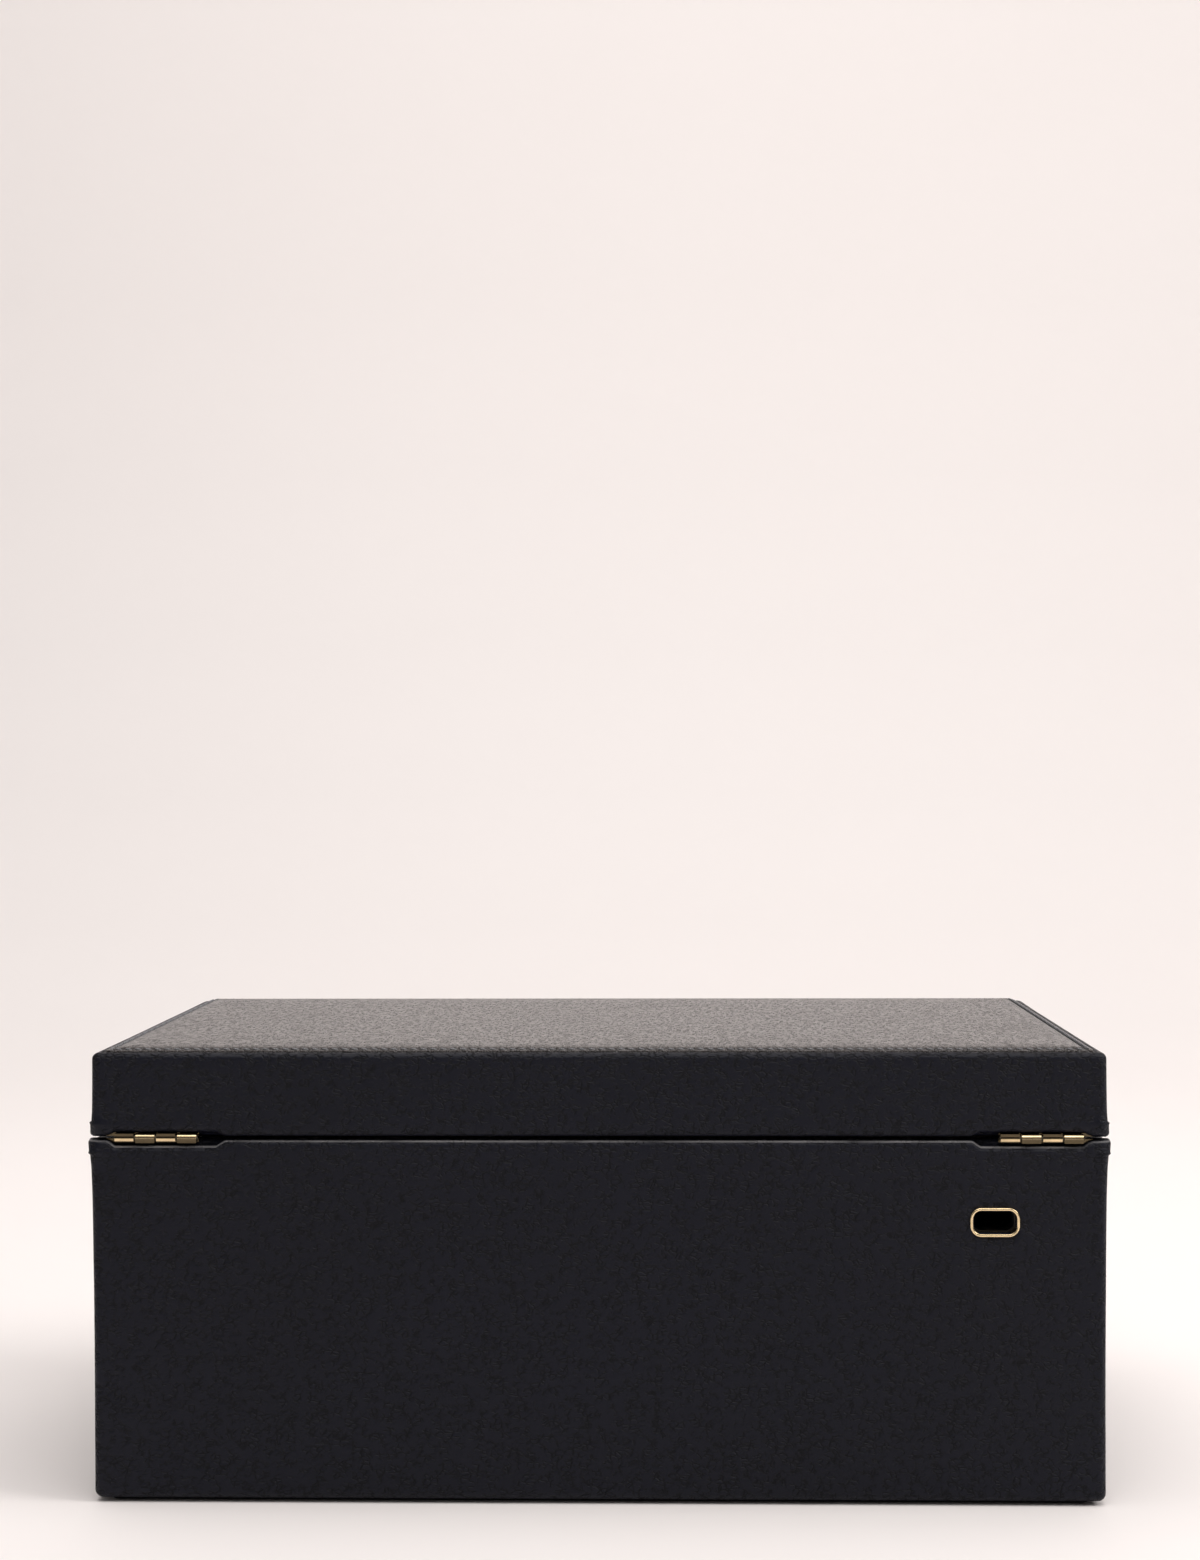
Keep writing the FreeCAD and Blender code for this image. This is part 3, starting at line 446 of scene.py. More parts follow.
def backdrop_paper():
    """Pale matt paper, very slightly mottled."""
    material, nodes, links, shader = new_finish("backdrop_paper", (0.90, 0.86, 0.847), 0.9)
    mottle = noise_node(nodes, links, object_coordinates(nodes), 2.0, 3.0)
    colour = colour_mix(nodes, links, mottle, (0.89, 0.847, 0.833), (0.91, 0.872, 0.86))
    links.new(colour, shader.inputs["Base Color"])
    return material


pebbled, napped, handled = pebble_group(), nap_group(), metal_group()
waxed = thread()

# Each hinge leaf is painted dark on the side of the pin that its own board is on: painted shade for
# the shaded half of its knuckles and for its plates seen in the gap.
hinge_shade = (0.80, 0.62, 0.37)
axis_height = (hinge_low.z + hinge_high.z) / 2
shade_near, shade_far = 0.2 * mm, 0.15 * mm
hinge_metals = {
    # The pins are painted dark, as shade in the gaps between the knuckles where they show.
    "hinge_pin": metal("pin_painted_shade", (0.10, 0.085, 0.06), 0.35),
    "hinge_leaf_lid": metal("lid_leaf_brass", hinge_shade, 0.16,
                            Patina_starts=axis_height - shade_near,
                            Patina_full=axis_height + shade_far),
    "hinge_leaf_base": metal("base_leaf_brass", hinge_shade, 0.16,
                             Patina_starts=axis_height + shade_near,
                             Patina_full=axis_height - shade_far),
}
finishes = {
    "case_leather": leather("case_leather", (0.0042, 0.0048, 0.0105), 0.42, gleam=0.20,
                            depth=0.24 * mm, pebbles=600.0),
    # The panel's shade is warmer than the case leather's: a painted warm tint for the pale backdrop
    # it reflects.
    "top_panel_leather": leather("top_panel_leather", (0.017, 0.0095, 0.0085), 0.22, gleam=0.75,
                                 depth=0.30 * mm, pebbles=1400.0, drawn=0.4),
    "board": board_wood(),
    "suede_lining": suede("suede_lining", (0.30, 0.26, 0.235)),
    "suede_padding": suede("suede_padding", (0.32, 0.28, 0.25)),
    "underside_felt": suede("underside_felt", (0.014, 0.014, 0.016), sheen=0.15),
    "foam": suede("thin_foam", (0.72, 0.69, 0.62), sheen=0.0),
    "hinge_brass": metal("hinge_brass", (0.70, 0.54, 0.32), 0.15),
    "lock_brass": metal("lock_brass", (0.68, 0.53, 0.31), 0.22),
    "key_brass": metal("key_brass", (0.68, 0.53, 0.31), 0.24),
    "port_brass": metal("port_brass", (0.86, 0.68, 0.41), 0.20, wear=0.9),
    "port_liner": black_plastic(),
    "screw_steel": metal("screw_steel", (0.55, 0.55, 0.55), 0.3),
    "mirror_glass": mirror_glass(),
}


# ---- Making pieces ----
def new_piece(name, bm, body, slot, finish=None, stands_for=()):
    """A smooth-shaded object from a bmesh, riding on a body and standing for some CAD nodes."""
    mesh = bpy.data.meshes.new(name)
    bm.to_mesh(mesh)
    bm.free()
    for polygon in mesh.polygons:
        polygon.use_smooth = True
    obj = bpy.data.objects.new(name, mesh)
    bpy.context.scene.collection.objects.link(obj)
    mesh.materials.append(finish or finishes[slot])
    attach(obj, body)
    if stands_for:
        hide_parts(*stands_for)
    return obj


def spaced(stops, step, crowd=None):
    """Places from the first stop to the last, through every stop, no more than step apart."""
    places = []
    for a, b in zip(stops, stops[1:]):
        gap = step if crowd is None else step * crowd((a + b) / 2)
        count = max(1, math.ceil(abs(b - a) / gap - 1e-6))
        places += [a + (b - a) * i / count for i in range(count)]
    return places + [stops[-1]]


def stations(half_x, half_y, radius, step, back=(), front=(), corner_steps=6):
    """Once round a rounded rectangle, anticlockwise: (core point, outward direction) pairs.

    They are no more than step apart, and closer near the corners. back and front add more on those
    sides.
    """
    x, y = half_x - radius, half_y - radius
    near, closer = (4 * mm, 12 * mm), 0.35

    def marks(limit):
        inner = [limit - n for n in near if limit > n]
        return [-limit] + [-n for n in inner] + list(reversed(inner)) + [limit]

    def fine(limit):
        return lambda at: closer if abs(at) > limit - near[-1] else 1.0

    side, wide = marks(y), marks(x)
    runs = [
        ([Vector((x, t, 0)) for t in spaced(side, step, fine(y))], 0),
        ([Vector((t, y, 0)) for t in spaced(sorted(wide + list(back)), step, fine(x))[::-1]], 90),
        ([Vector((-x, t, 0)) for t in spaced(side, step, fine(y))[::-1]], 180),
        ([Vector((t, -y, 0)) for t in spaced(sorted(wide + list(front)), step, fine(x))], 270),
    ]
    found = []
    for points, facing in runs:
        out = Vector((math.cos(math.radians(facing)), math.sin(math.radians(facing)), 0))
        found += [(p, out) for p in points]
        for i in range(1, corner_steps):
            angle = math.radians(facing + 90 * i / corner_steps)
            found.append((points[-1], Vector((math.cos(angle), math.sin(angle), 0))))
    return found


def ring_at(around, half_x, half_y, radius, inset, z):
    """A closed loop of points, inset from a rounded rectangle's sides."""
    grown = max(radius - inset, 0.0)
    limit_x, limit_y = half_x - inset, half_y - inset
    loop = []
    for core, out in around:
        x = min(max(core.x + out.x * grown, -limit_x), limit_x)
        y = min(max(core.y + out.y * grown, -limit_y), limit_y)
        loop.append(Vector((x, y, z)))
    return loop


def lofted(rings, rim_highlight=None):
    """A grid with one row on each ring, its ends joined. The optional list gives each row's share
    of the painted rim highlight.
    """
    rows = [ring + [ring[0]] for ring in rings]
    wide, tall = len(rows[0]) - 1, len(rows) - 1
    # How strongly the painted rim highlight shows on each point, broken up by noise.
    highlight_least, highlight_spread, highlight_scale = 0.7, 0.6, 160
    bm = bmesh.new()
    bmesh.ops.create_grid(bm, x_segments=wide, y_segments=tall, size=1.0)
    layer = bm.verts.layers.float.new("rim_highlight") if rim_highlight else None
    for v in bm.verts:
        i, j = round((v.co.x + 1) / 2 * wide), round((v.co.y + 1) / 2 * tall)
        v.co = rows[j][i]
        if rim_highlight:
            v[layer] = rim_highlight[j] * (highlight_least + highlight_spread * noise.noise(v.co * highlight_scale))
    bmesh.ops.remove_doubles(bm, verts=bm.verts, dist=1e-6)
    return bm


def face_outwards(bm, inside=Vector((0, 0, 0))):
    """Turns the whole surface so that its faces look away from the point inside."""
    bmesh.ops.recalc_face_normals(bm, faces=bm.faces)
    total = sum((f.calc_center_median() - inside).dot(f.normal) * f.calc_area() for f in bm.faces)
    if total < 0:
        bmesh.ops.reverse_faces(bm, faces=bm.faces)


def arc(centre, radius, start, end, steps):
    """Points (a, b) on an arc, degrees from the a axis."""
    angles = [math.radians(start + (end - start) * i / steps) for i in range(steps + 1)]
    return [(centre[0] + radius * math.cos(angle), centre[1] + radius * math.sin(angle))
            for angle in angles]


# ---- Leather covers ----
corner_radius, foot_radius, rim_radius, top_radius = 2.5 * mm, 2.4 * mm, 1.8 * mm, 2.0 * mm
wall_thick = 9.2 * mm                       # leather and board, from the outside to the lining
notch_start, notch_slope, notch_width = half_w - 40.0 * mm, 2.8 * mm, 3.4 * mm
# Beyond the hinge's barrel the notch closes, by a share of its depth.
notch_closing, notch_shut = (hinge_high.x - 0.3 * mm, hinge_high.x + 2.2 * mm), 0.95
notch_margin, side_fade, front_fade = 0.5 * mm, 1.2 * mm, 0.8 * mm
# At an upright corner the leather is folded double, in a tab along the rim.
tab_depth, tab_thick, tab_reach = 4.0 * mm, 0.36 * mm, 7.0 * mm
corner_rise = 0.42 * mm
# A side wall flares out near its rim, and more gently below it: how far, over what depth, twice.
base_flare = (0.75 * mm, 5 * mm, 1.15 * mm, 40 * mm)
lid_flare = (0.55 * mm, 5 * mm, 0.75 * mm, 1.0)
# Its flare is full at the corners and less between them. The front and back walls flare a little.
flare_least, flare_extra, flare_reach = 0.55, 0.45, 26 * mm
end_flare, end_reach = 0.10 * mm, 7 * mm
# Glued leather is slightly uneven: share, waves per metre and seed of each wave.
glue_depth, glue_waves = 0.09 * mm, ((1.0, 26, 0), (0.4, 75, 9))


def notch_places():
    """Where along X a cover needs edges for its notches."""
    places = [notch_start, notch_start + notch_slope / 2, notch_start + notch_slope, hinge_high.x]
    return [side * place for side in (1, -1) for place in places]


def in_notch(p):
    """1 inside a hinge notch in the back rim, 0 outside it."""
    inner = smooth((abs(p.x) - notch_start) / notch_slope)
    shut = smooth((abs(p.x) - notch_closing[0]) / (notch_closing[1] - notch_closing[0]))
    outer = (1 - notch_shut * shut) * smooth((half_w - notch_margin - abs(p.x)) / side_fade)
    across = smooth((p.y - (half_d - notch_width - notch_margin)) / front_fade)
    return inner * outer * across


def at_corner(p):
    """1 at an upright corner, where the leather is folded double, fading to 0 beyond its tab."""
    steepness = 2.2
    return smooth(steepness * max(0.0, 1 - max(half_w - abs(p.x), half_d - abs(p.y)) / tab_reach))


def clear_of_hinge(p):
    """0 at the back edge, where the rims turn past each other as the lid opens, and 1 in front."""
    swept, fade = 2.6 * mm, 1.2 * mm
    return smooth((half_d - swept - p.y) / fade)


def flared(p, out, inset, drop, flare):
    """How far the turned and doubled leather pushes the cover off its board near a rim."""
    near, near_reach, far, far_reach = flare
    side, corner = abs(out.x), at_corner(p)
    along = flare_least + flare_extra * math.exp(-(half_d - abs(p.y)) / flare_reach)
    push = (near * math.exp(-drop / near_reach) + far * math.exp(-drop / far_reach)) * side * along
    push += end_flare * math.exp(-drop / end_reach) * abs(out.y)
    on_tab = 1 - smooth((drop - tab_depth) / (0.35 * mm))
    push += tab_thick * corner * on_tab * (0.35 + 0.65 * side)
    tab_edge = math.exp(-((drop - tab_depth) / (0.45 * mm)) ** 2)
    push += 0.3 * mm * corner * tab_edge * side
    if drop < rim_radius:
        push += 0.75 * min(inset, rim_radius) * corner * side       # squares the fold over the rim
    return push * (1 - smooth(inset / (5 * mm)))


def settled(loop, around, inset, drop, flare, seed):
    """The loop with the flare and the small unevenness of glued leather."""
    swept, fade = 1.8 * mm, 2.0 * mm
    moved = []
    for p, (core, out) in zip(loop, around):
        wave = 0.0
        for share, scale, offset in glue_waves:
            at = Vector((p.x * scale, p.y * scale, p.z * scale + seed + offset))
            wave += share * noise.noise(at)
        push = flared(p, out, inset, drop, flare)
        push += glue_depth * wave * (1 if inset < rim_radius else 0.3)
        push *= 1 - abs(out.y) * (1 - clear_of_hinge(p)) * (1 - smooth((drop - swept) / fade))
        moved.append(p + out * push)
    return moved


def over_rim(z, up, steps):
    """The outline over a rim at height z, to the lining. up is 1 for the base, -1 for the lid."""
    outline = arc((rim_radius, z - up * rim_radius), rim_radius, 180, 180 - 90 * up, steps)
    outline += [(inset * mm, z) for inset in (2.4, 3.0, 3.5, 4.0, 5.5, 7.5)]
    outline.append((wall_thick - 0.4 * mm, z))
    return outline + [(wall_thick, z - up * depth * mm) for depth in (0.3, 3)]


def cover_rings(around, profile, rim_z, up, flare, notch_depth, rim_zone, seed):
    """The loops of a cover, its corners raised towards the other half and its notches sunk."""
    zone_fade = 2.2 * mm
    rings = []
    for inset, z in profile:
        drop = up * (rim_z - z)
        near_rim = smooth((rim_zone - drop) / zone_fade)
        loop = ring_at(around, half_w, half_d, corner_radius, inset, z)
        loop = settled(loop, around, inset, drop, flare, seed)
        for p in loop:
            raised = corner_rise * at_corner(p) * clear_of_hinge(p) - notch_depth * in_notch(p)
            p.z += up * raised * near_rim
        rings.append(loop)
    return rings


def base_cover():
    """Leather from under the floor, up the walls, over the rim and into the drawer's opening."""
    opening_x = front_high.x + 0.8 * mm
    port_x, port_z = (port_low.x + port_high.x) / 2, (port_low.z + port_high.z) / 2
    hole_x, hole_z = 6.3 * mm, 3.27 * mm        # half sizes, under the port's rim
    near_edge = 0.5 * mm
    around = stations(half_w, half_d, corner_radius, 4.0 * mm,
                      notch_places() + [port_x - hole_x, port_x + hole_x], (-opening_x, opening_x))
    heights = [foot + foot_radius, opening_low, port_z - hole_z, port_z + hole_z, opening_high,
               rim - tab_depth - near_edge, rim - tab_depth, rim - tab_depth + near_edge,
               rim - rim_radius]
    walls = spaced(sorted(heights), 4.0 * mm)
    profile = [(14 * mm, foot), (7 * mm, foot)]
    profile += arc((foot_radius, foot + foot_radius), foot_radius, 270, 180, 5)
    profile += [(0.0, z) for z in walls[1:-1]]
    profile += over_rim(rim, 1, 9)
    rings = cover_rings(around, profile, rim, 1, base_flare,
                        notch_depth=1.7 * mm, rim_zone=3.2 * mm, seed=0)
    # Rows at the top of the rim's rounding get a painted highlight, where the edge catches the
    # light.
    highlight_low, highlight_high = rim - 0.62 * mm, rim - 0.1 * mm
    tarnish_and_highlight = [highlight_low < z < highlight_high and inset < rim_radius for inset, z in profile]
    bm = lofted(rings, [1.0 if row else 0.0 for row in tarnish_and_highlight])
    drawer_window = (-opening_x, opening_x), (opening_low, opening_high)
    cut_window(bm, *drawer_window, side=-1, depth=8.9 * mm, softness=0.9 * mm)
    port_window = (port_x - hole_x, port_x + hole_x), (port_z - hole_z, port_z + hole_z)
    cut_window(bm, *port_window, side=1, depth=2.0 * mm, softness=0.0)
    face_outwards(bm, Vector((0, 0, rim / 2)))
    new_piece("base_cover", bm, "base", "case_leather", stands_for=["base_leather"])


def cut_window(bm, x, z, side, depth, softness):
    """Opens a window in the front (side -1) or back (side 1) wall, and turns the leather in."""
    slack, wall_zone = 0.3 * mm, half_d - 1.5 * mm

    def within(place, margin):
        across = x[0] - margin < place.x < x[1] + margin
        return across and z[0] - margin < place.z < z[1] + margin and place.y * side > wall_zone

    inside = [f for f in bm.faces if within(f.calc_center_median(), 0.0)]
    bmesh.ops.delete(bm, geom=inside, context="FACES")
    lip = [e for e in bm.edges if e.is_boundary and all(within(v.co, slack) for v in e.verts)]
    turned = bmesh.ops.extrude_edge_only(bm, edges=lip)["geom"]
    for v in turned:
        if isinstance(v, bmesh.types.BMVert):
            v.co.y -= side * depth
    if softness:
        bmesh.ops.bevel(bm, geom=lip, offset=softness, segments=3, profile=0.5, affect="EDGES",
                        material=-1)


def lid_cover():
    """Leather from under the top panel, down the walls, round the rim and up to the lining."""
    around = stations(half_w, half_d, corner_radius, 4.0 * mm, notch_places())
    near_edge = 0.5 * mm
    under_panel = ((14, 0.7), (4.5, 0.7), (2.75, 0.65), (2.4, 0.55), (2.2, 0.25), (2.1, 0.03))
    profile = [(inset * mm, lid_top - sunk * mm) for inset, sunk in under_panel]
    profile += arc((top_radius, lid_top - top_radius), top_radius, 90, 180, 8)
    walls = spaced([lid_top - top_radius, lid_rim + tab_depth + near_edge, lid_rim + tab_depth,
                    lid_rim + tab_depth - near_edge, lid_rim + rim_radius], 3.0 * mm)
    profile += [(0.0, z) for z in walls[1:-1]]
    profile += over_rim(lid_rim, -1, 6)
    bm = lofted(cover_rings(around, profile, lid_rim, -1, lid_flare,
                            notch_depth=1.2 * mm, rim_zone=3.0 * mm, seed=50))
    face_outwards(bm, Vector((0, 0, (lid_rim + lid_top) / 2)))
    new_piece("lid_cover", bm, "lid", "case_leather", stands_for=["lid_leather"])


# ---- The stitched panel on the lid ----
panel_inset, panel_corner = 2.75 * mm, 3.0 * mm
stitch_line, stitch_pitch = 1.8 * mm, 3.0 * mm


def panel_profile(middle):
    """(inset from the edge, height over the lid's leather) pairs, from the edge to the middle."""
    crown = panel_top - lid_top
    cut_edge = [(0.10, -0.65), (0.02, -0.2), (0.0, 0.22), (0.10, 0.42), (0.35, 0.56)]
    border = [(0.7, 0.64), (1.05, 0.66), (1.3, 0.50)]
    sewn_channel = [(1.45, 0.28), (1.8, 0.20), (2.15, 0.26), (2.3, 0.60)]
    pad_edge = [(2.5, 0.90), (3.0, 1.12), (4.5, 1.30), (6.0, 1.42), (8.0, 1.52)]
    found = [(a * mm, b * mm) for a, b in cut_edge + border + sewn_channel + pad_edge]
    start, level = found[-1]
    slope = 30 * mm
    for inset in spaced([start, 30 * mm, middle], 6.0 * mm)[1:]:
        rise = smooth(0.5 + 0.5 * (inset - start) / slope) * 2 - 1
        found.append((inset, level + (crown - level) * max(0.0, rise)))
    return found


def top_panel():
    """Leather over a thin pad, saddle-stitched all round."""
    half_x, half_y = half_w - panel_inset, half_d - panel_inset
    around = stations(half_x, half_y, panel_corner, 1.0 * mm, corner_steps=8)
    wave_depth, wave_scale = 0.16 * mm, 22
    pucker_depth, pucker_at, pucker_reach = 0.12 * mm, 2.4 * mm, 0.45 * mm
    pull_depth, pull_at, pull_reach = 0.24 * mm, 2.7 * mm, 1.3 * mm
    rings = []
    for inset, height in panel_profile(half_y):
        loop = ring_at(around, half_x, half_y, panel_corner, inset, lid_top + height)
        soft = smooth((inset - 2 * mm) / (12 * mm))
        puckered = math.exp(-((inset - pucker_at) / pucker_reach) ** 2)
        pulled = math.exp(-((inset - pull_at) / pull_reach) ** 2)
        for p, (core, out) in zip(loop, around):
            p.z += wave_depth * soft * noise.noise(Vector((p.x * wave_scale, p.y * wave_scale, 3)))
            stitch = math.cos(2 * math.pi * (p.x + p.y) / stitch_pitch)
            p.z -= pucker_depth * (0.5 + 0.5 * stitch) * puckered
            p.z -= pull_depth * abs(out.x) * pulled
        rings.append(loop)
    bm = lofted(rings)
    face_outwards(bm, Vector((0, 0, lid_top - 5 * mm)))
    panel = new_piece("top_panel", bm, "lid", "top_panel_leather", stands_for=["lid_top_panel"])
    sewn_line("top_panel_stitches", half_x - stitch_line, half_y - stitch_line,
              panel_corner - stitch_line, lid_top + 0.70 * mm, "lid")


def sewn_line(name, half_x, half_y, radius, z, body):
    """Slanted stitches along a rounded rectangle, lying in a channel that faces up."""
    stitch_size = (1.26 * mm, 0.42 * mm, 0.36 * mm)     # half its length, width and height
    slant, uneven, sunk_end = 0.26, 0.05, 0.20
    long_x, long_y = half_x - radius, half_y - radius
    corner = radius * math.pi / 2
    whole = 4 * (long_x + long_y + corner)
    count = round(whole / stitch_pitch)
    sides = [(Vector((long_x, -long_y, 0)), 0, 2 * long_y),
             (Vector((long_x, long_y, 0)), 90, 2 * long_x),
             (Vector((-long_x, long_y, 0)), 180, 2 * long_y),
             (Vector((-long_x, -long_y, 0)), 270, 2 * long_x)]
    bm = bmesh.new()
    for i in range(count):
        at = (i + 0.5) * whole / count
        for start, facing, length in sides:
            if at < length + corner:
                break
            at -= length + corner
        round_corner = max(at - length, 0.0) / corner
        straight, angle = math.radians(facing), math.radians(facing + 90 * round_corner)
        point = start + Vector((-math.sin(straight), math.cos(straight), 0)) * min(at, length)
        along = Vector((-math.sin(angle), math.cos(angle), 0))
        place = point + Vector((math.cos(angle), math.sin(angle), 0)) * radius + Vector((0, 0, z))
        lean = slant + uneven * noise.noise(place * 900)
        turn = Matrix.Rotation(math.atan2(along.y, along.x) + lean, 4, "Z")
        shape = Matrix.Rotation(sunk_end, 4, "Y") @ Matrix.Diagonal((*stitch_size, 1))
        bmesh.ops.create_uvsphere(bm, u_segments=6, v_segments=5, radius=1.0,
                                  matrix=Matrix.Translation(place) @ turn @ shape)
    return new_piece(name, bm, body, "top_panel_leather", finish=waxed)


# ---- Drawer front ----
def drawer_cover():
    """Leather over the drawer's front board, softly rounded all round."""
    half_x = front_high.x
    mid_z, half_z = (front_low.z + front_high.z) / 2, (front_high.z - front_low.z) / 2
    radius, edge, thick = 1.6 * mm, 1.3 * mm, front_high.y - front_low.y
    wave_depth, wave_scale = 0.08 * mm, 24
    around = stations(half_x, half_z, radius, 4.0 * mm)
    profile = [(0.0, thick), (0.0, thick * 0.5)] + arc((edge, edge), edge, 180, 270, 5)
    profile += [(i * mm, 0.0) for i in (3, 6, 10, 16)] + [(half_z, 0.0)]
    rings = []
    for inset, depth in profile:
        loop = []
        for p in ring_at(around, half_x, half_z, radius, inset, 0.0):
            wave = wave_depth * noise.noise(Vector((p.x * wave_scale, p.y * wave_scale, 7)))
            loop.append(Vector((p.x, front_low.y + depth + wave, mid_z + p.y)))
        rings.append(loop)
    bm = lofted(rings)
    face_outwards(bm, Vector((0, front_high.y, mid_z)))
    new_piece("drawer_cover", bm, "drawer", "case_leather", stands_for=["drawer_front_leather"])


# ---- Cloth over foam ----
def finished_mesh(obj):
    """An object's mesh with its modifiers applied."""
    return bpy.data.meshes.new_from_object(obj.evaluated_get(bpy.context.evaluated_depsgraph_get()))


def plumped(name, bm, voxel, limit, pressure=12.0, stiffness=5.0, frames=20):
    """A closed form swollen as by its stuffing, each point moved by no more than limit."""
    rough = bpy.data.objects.new(name + "_rough", bpy.data.meshes.new(name + "_rough"))
    bm.to_mesh(rough.data)
    bm.free()
    bpy.context.scene.collection.objects.link(rough)
    remesh = rough.modifiers.new("even_faces", "REMESH")
    remesh.mode, remesh.voxel_size = "VOXEL", voxel
    cut = finished_mesh(rough)
    bpy.data.objects.remove(rough)
    cloth_piece = bpy.data.objects.new(name + "_cloth", cut)
    bpy.context.scene.collection.objects.link(cloth_piece)
    cloth = cloth_piece.modifiers.new("cloth", "CLOTH")
    cloth.settings.use_pressure = True
    cloth.settings.uniform_pressure_force = pressure
    cloth.settings.effector_weights.gravity = 0
    cloth.settings.tension_stiffness = cloth.settings.compression_stiffness = stiffness
    cloth.point_cache.frame_end = frames
    for moment in range(1, frames + 1):
        bpy.context.scene.frame_set(moment)
    swollen = finished_mesh(cloth_piece)
    bpy.context.scene.frame_set(1)
    for before, after in zip(cut.vertices, swollen.vertices):
        moved = after.co - before.co
        if moved.length > limit:
            moved *= limit / moved.length
        after.co = before.co + moved
    bpy.data.objects.remove(cloth_piece)
    cut = swollen
    result = bmesh.new()
    result.from_mesh(cut)
    bmesh.ops.smooth_vert(result, verts=result.verts, factor=0.5,
                          use_axis_x=True, use_axis_y=True, use_axis_z=True)
    return result


def stuffed(name, bm, body, stands_for):
    """A padded piece in the pale suede."""
    bmesh.ops.recalc_face_normals(bm, faces=bm.faces)
    obj = new_piece(name, bm, body, "suede_padding", stands_for=stands_for)
    finer = obj.modifiers.new("finer", "SUBSURF")
    finer.levels = finer.render_levels = 1
    return obj


def soft_form(low, high, upright, top_edge, foot_edge, step, crown=0.0):
    """A closed form between two corners, its corners and edges rounded and its top crowned."""
    middle, half = (low + high) / 2, (high - low) / 2
    least = min(half.x, half.y)
    around = stations(half.x, half.y, upright, step)
    shoulder = high.z - crown
    profile = [(inset, low.z) for inset in reversed(spaced([foot_edge, least], step))]
    profile += arc((foot_edge, low.z + foot_edge), foot_edge, 270, 180, 3)[1:]
    profile += [(0.0, z) for z in spaced([low.z + foot_edge, shoulder - top_edge], step)[1:-1]]
    profile += arc((top_edge, shoulder - top_edge), top_edge, 180, 90, 5)
    for inset in spaced([top_edge, least], step)[1:]:
        share = (inset - top_edge) / max(least - top_edge, 1e-6)
        profile.append((inset, shoulder + crown * math.sin(share * math.pi / 2)))
    shift = Vector((middle.x, middle.y, 0))
    rings = [[p + shift for p in ring_at(around, half.x, half.y, upright, inset, z)]
             for inset, z in profile]
    bm = lofted(rings)
    face_outwards(bm, middle)
    return bm


def ring_rolls():
    """Bolsters side by side, which hold rings between them, on a soft bed."""
    low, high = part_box("ring_rolls")
    count, gap = len(separate_boxes("ring_rolls")), 0.5 * mm
    pitch = (high.y - low.y + gap) / count
    half, top = (pitch - gap) / 2, high.z
    spare, foot_round = 0.5 * mm, 2.5 * mm      # room to swell, and the radius along the foot
    # Towards each end: how far from it, and the share of the full section there.
    shrink = [(0.0, 0.0), (0.0, 0.5), (0.0, 0.86), (0.7, 0.95), (2.4, 1.0)]
    places = [(low.x + a * mm, k) for a, k in shrink]
    places += [(x, 1.0) for x in spaced([low.x + 2.4 * mm, high.x - 2.4 * mm], 4 * mm)[1:-1]]
    places += [(high.x - a * mm, k) for a, k in reversed(shrink)]
    flank = top - half - low.z
    centre_z = (low.z + top) / 2
    reach, bulge = pitch / 2 - 0.08 * mm, 0.6 * mm
    for i in range(count):
        middle = low.y - gap / 2 + (i + 0.5) * pitch
        left, right = middle - half + spare, middle + half - spare
        section = arc((middle, top - half), half - spare, 0, 180, 14)
        section += [(left, low.z + flank * t) for t in (0.66, 0.33)]
        section += arc((left + foot_round, low.z + foot_round), foot_round, 180, 270, 3)
        section += arc((right - foot_round, low.z + foot_round), foot_round, 270, 360, 3)
        section += [(right, low.z + flank * t) for t in (0.33, 0.66)]
        rings = [[Vector((x, middle + (y - middle) * k, centre_z + (z - centre_z) * k))
                  for y, z in section] for x, k in places]
        bm = lofted(rings)
        bmesh.ops.recalc_face_normals(bm, faces=bm.faces)
        bm = plumped("ring_roll_%d" % (i + 1), bm, voxel=2.6 * mm, limit=1.3 * mm)
        for v in bm.verts:
            slack = 0.06 * mm * noise.noise(Vector((v.co.x * 60, i * 3.7, v.co.z * 60)))
            v.co.y = min(max(v.co.y, middle - reach), middle + reach)
            v.co.x = min(max(v.co.x, low.x - bulge), high.x + bulge)
            v.co.z = max(v.co.z, low.z + 0.02 * mm) + slack
        stuffed("ring_roll_%d" % (i + 1), bm, "base", ["ring_rolls"])
    low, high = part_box("ring_bed")
    bed_low, bed_high = low + Vector((0.4, 0.4, 0)) * mm, high - Vector((0.4, 0.4, 0.1)) * mm
    bm = soft_form(bed_low, bed_high, 3 * mm, top_edge=2.5 * mm, foot_edge=1 * mm, step=4 * mm)
    bm = plumped("ring_bed", bm, voxel=4 * mm, limit=0.4 * mm)
    for v in bm.verts:
        v.co.z = min(max(v.co.z, low.z + 0.02 * mm), high.z)
    stuffed("ring_bed_pad", bm, "base", ["ring_bed"])


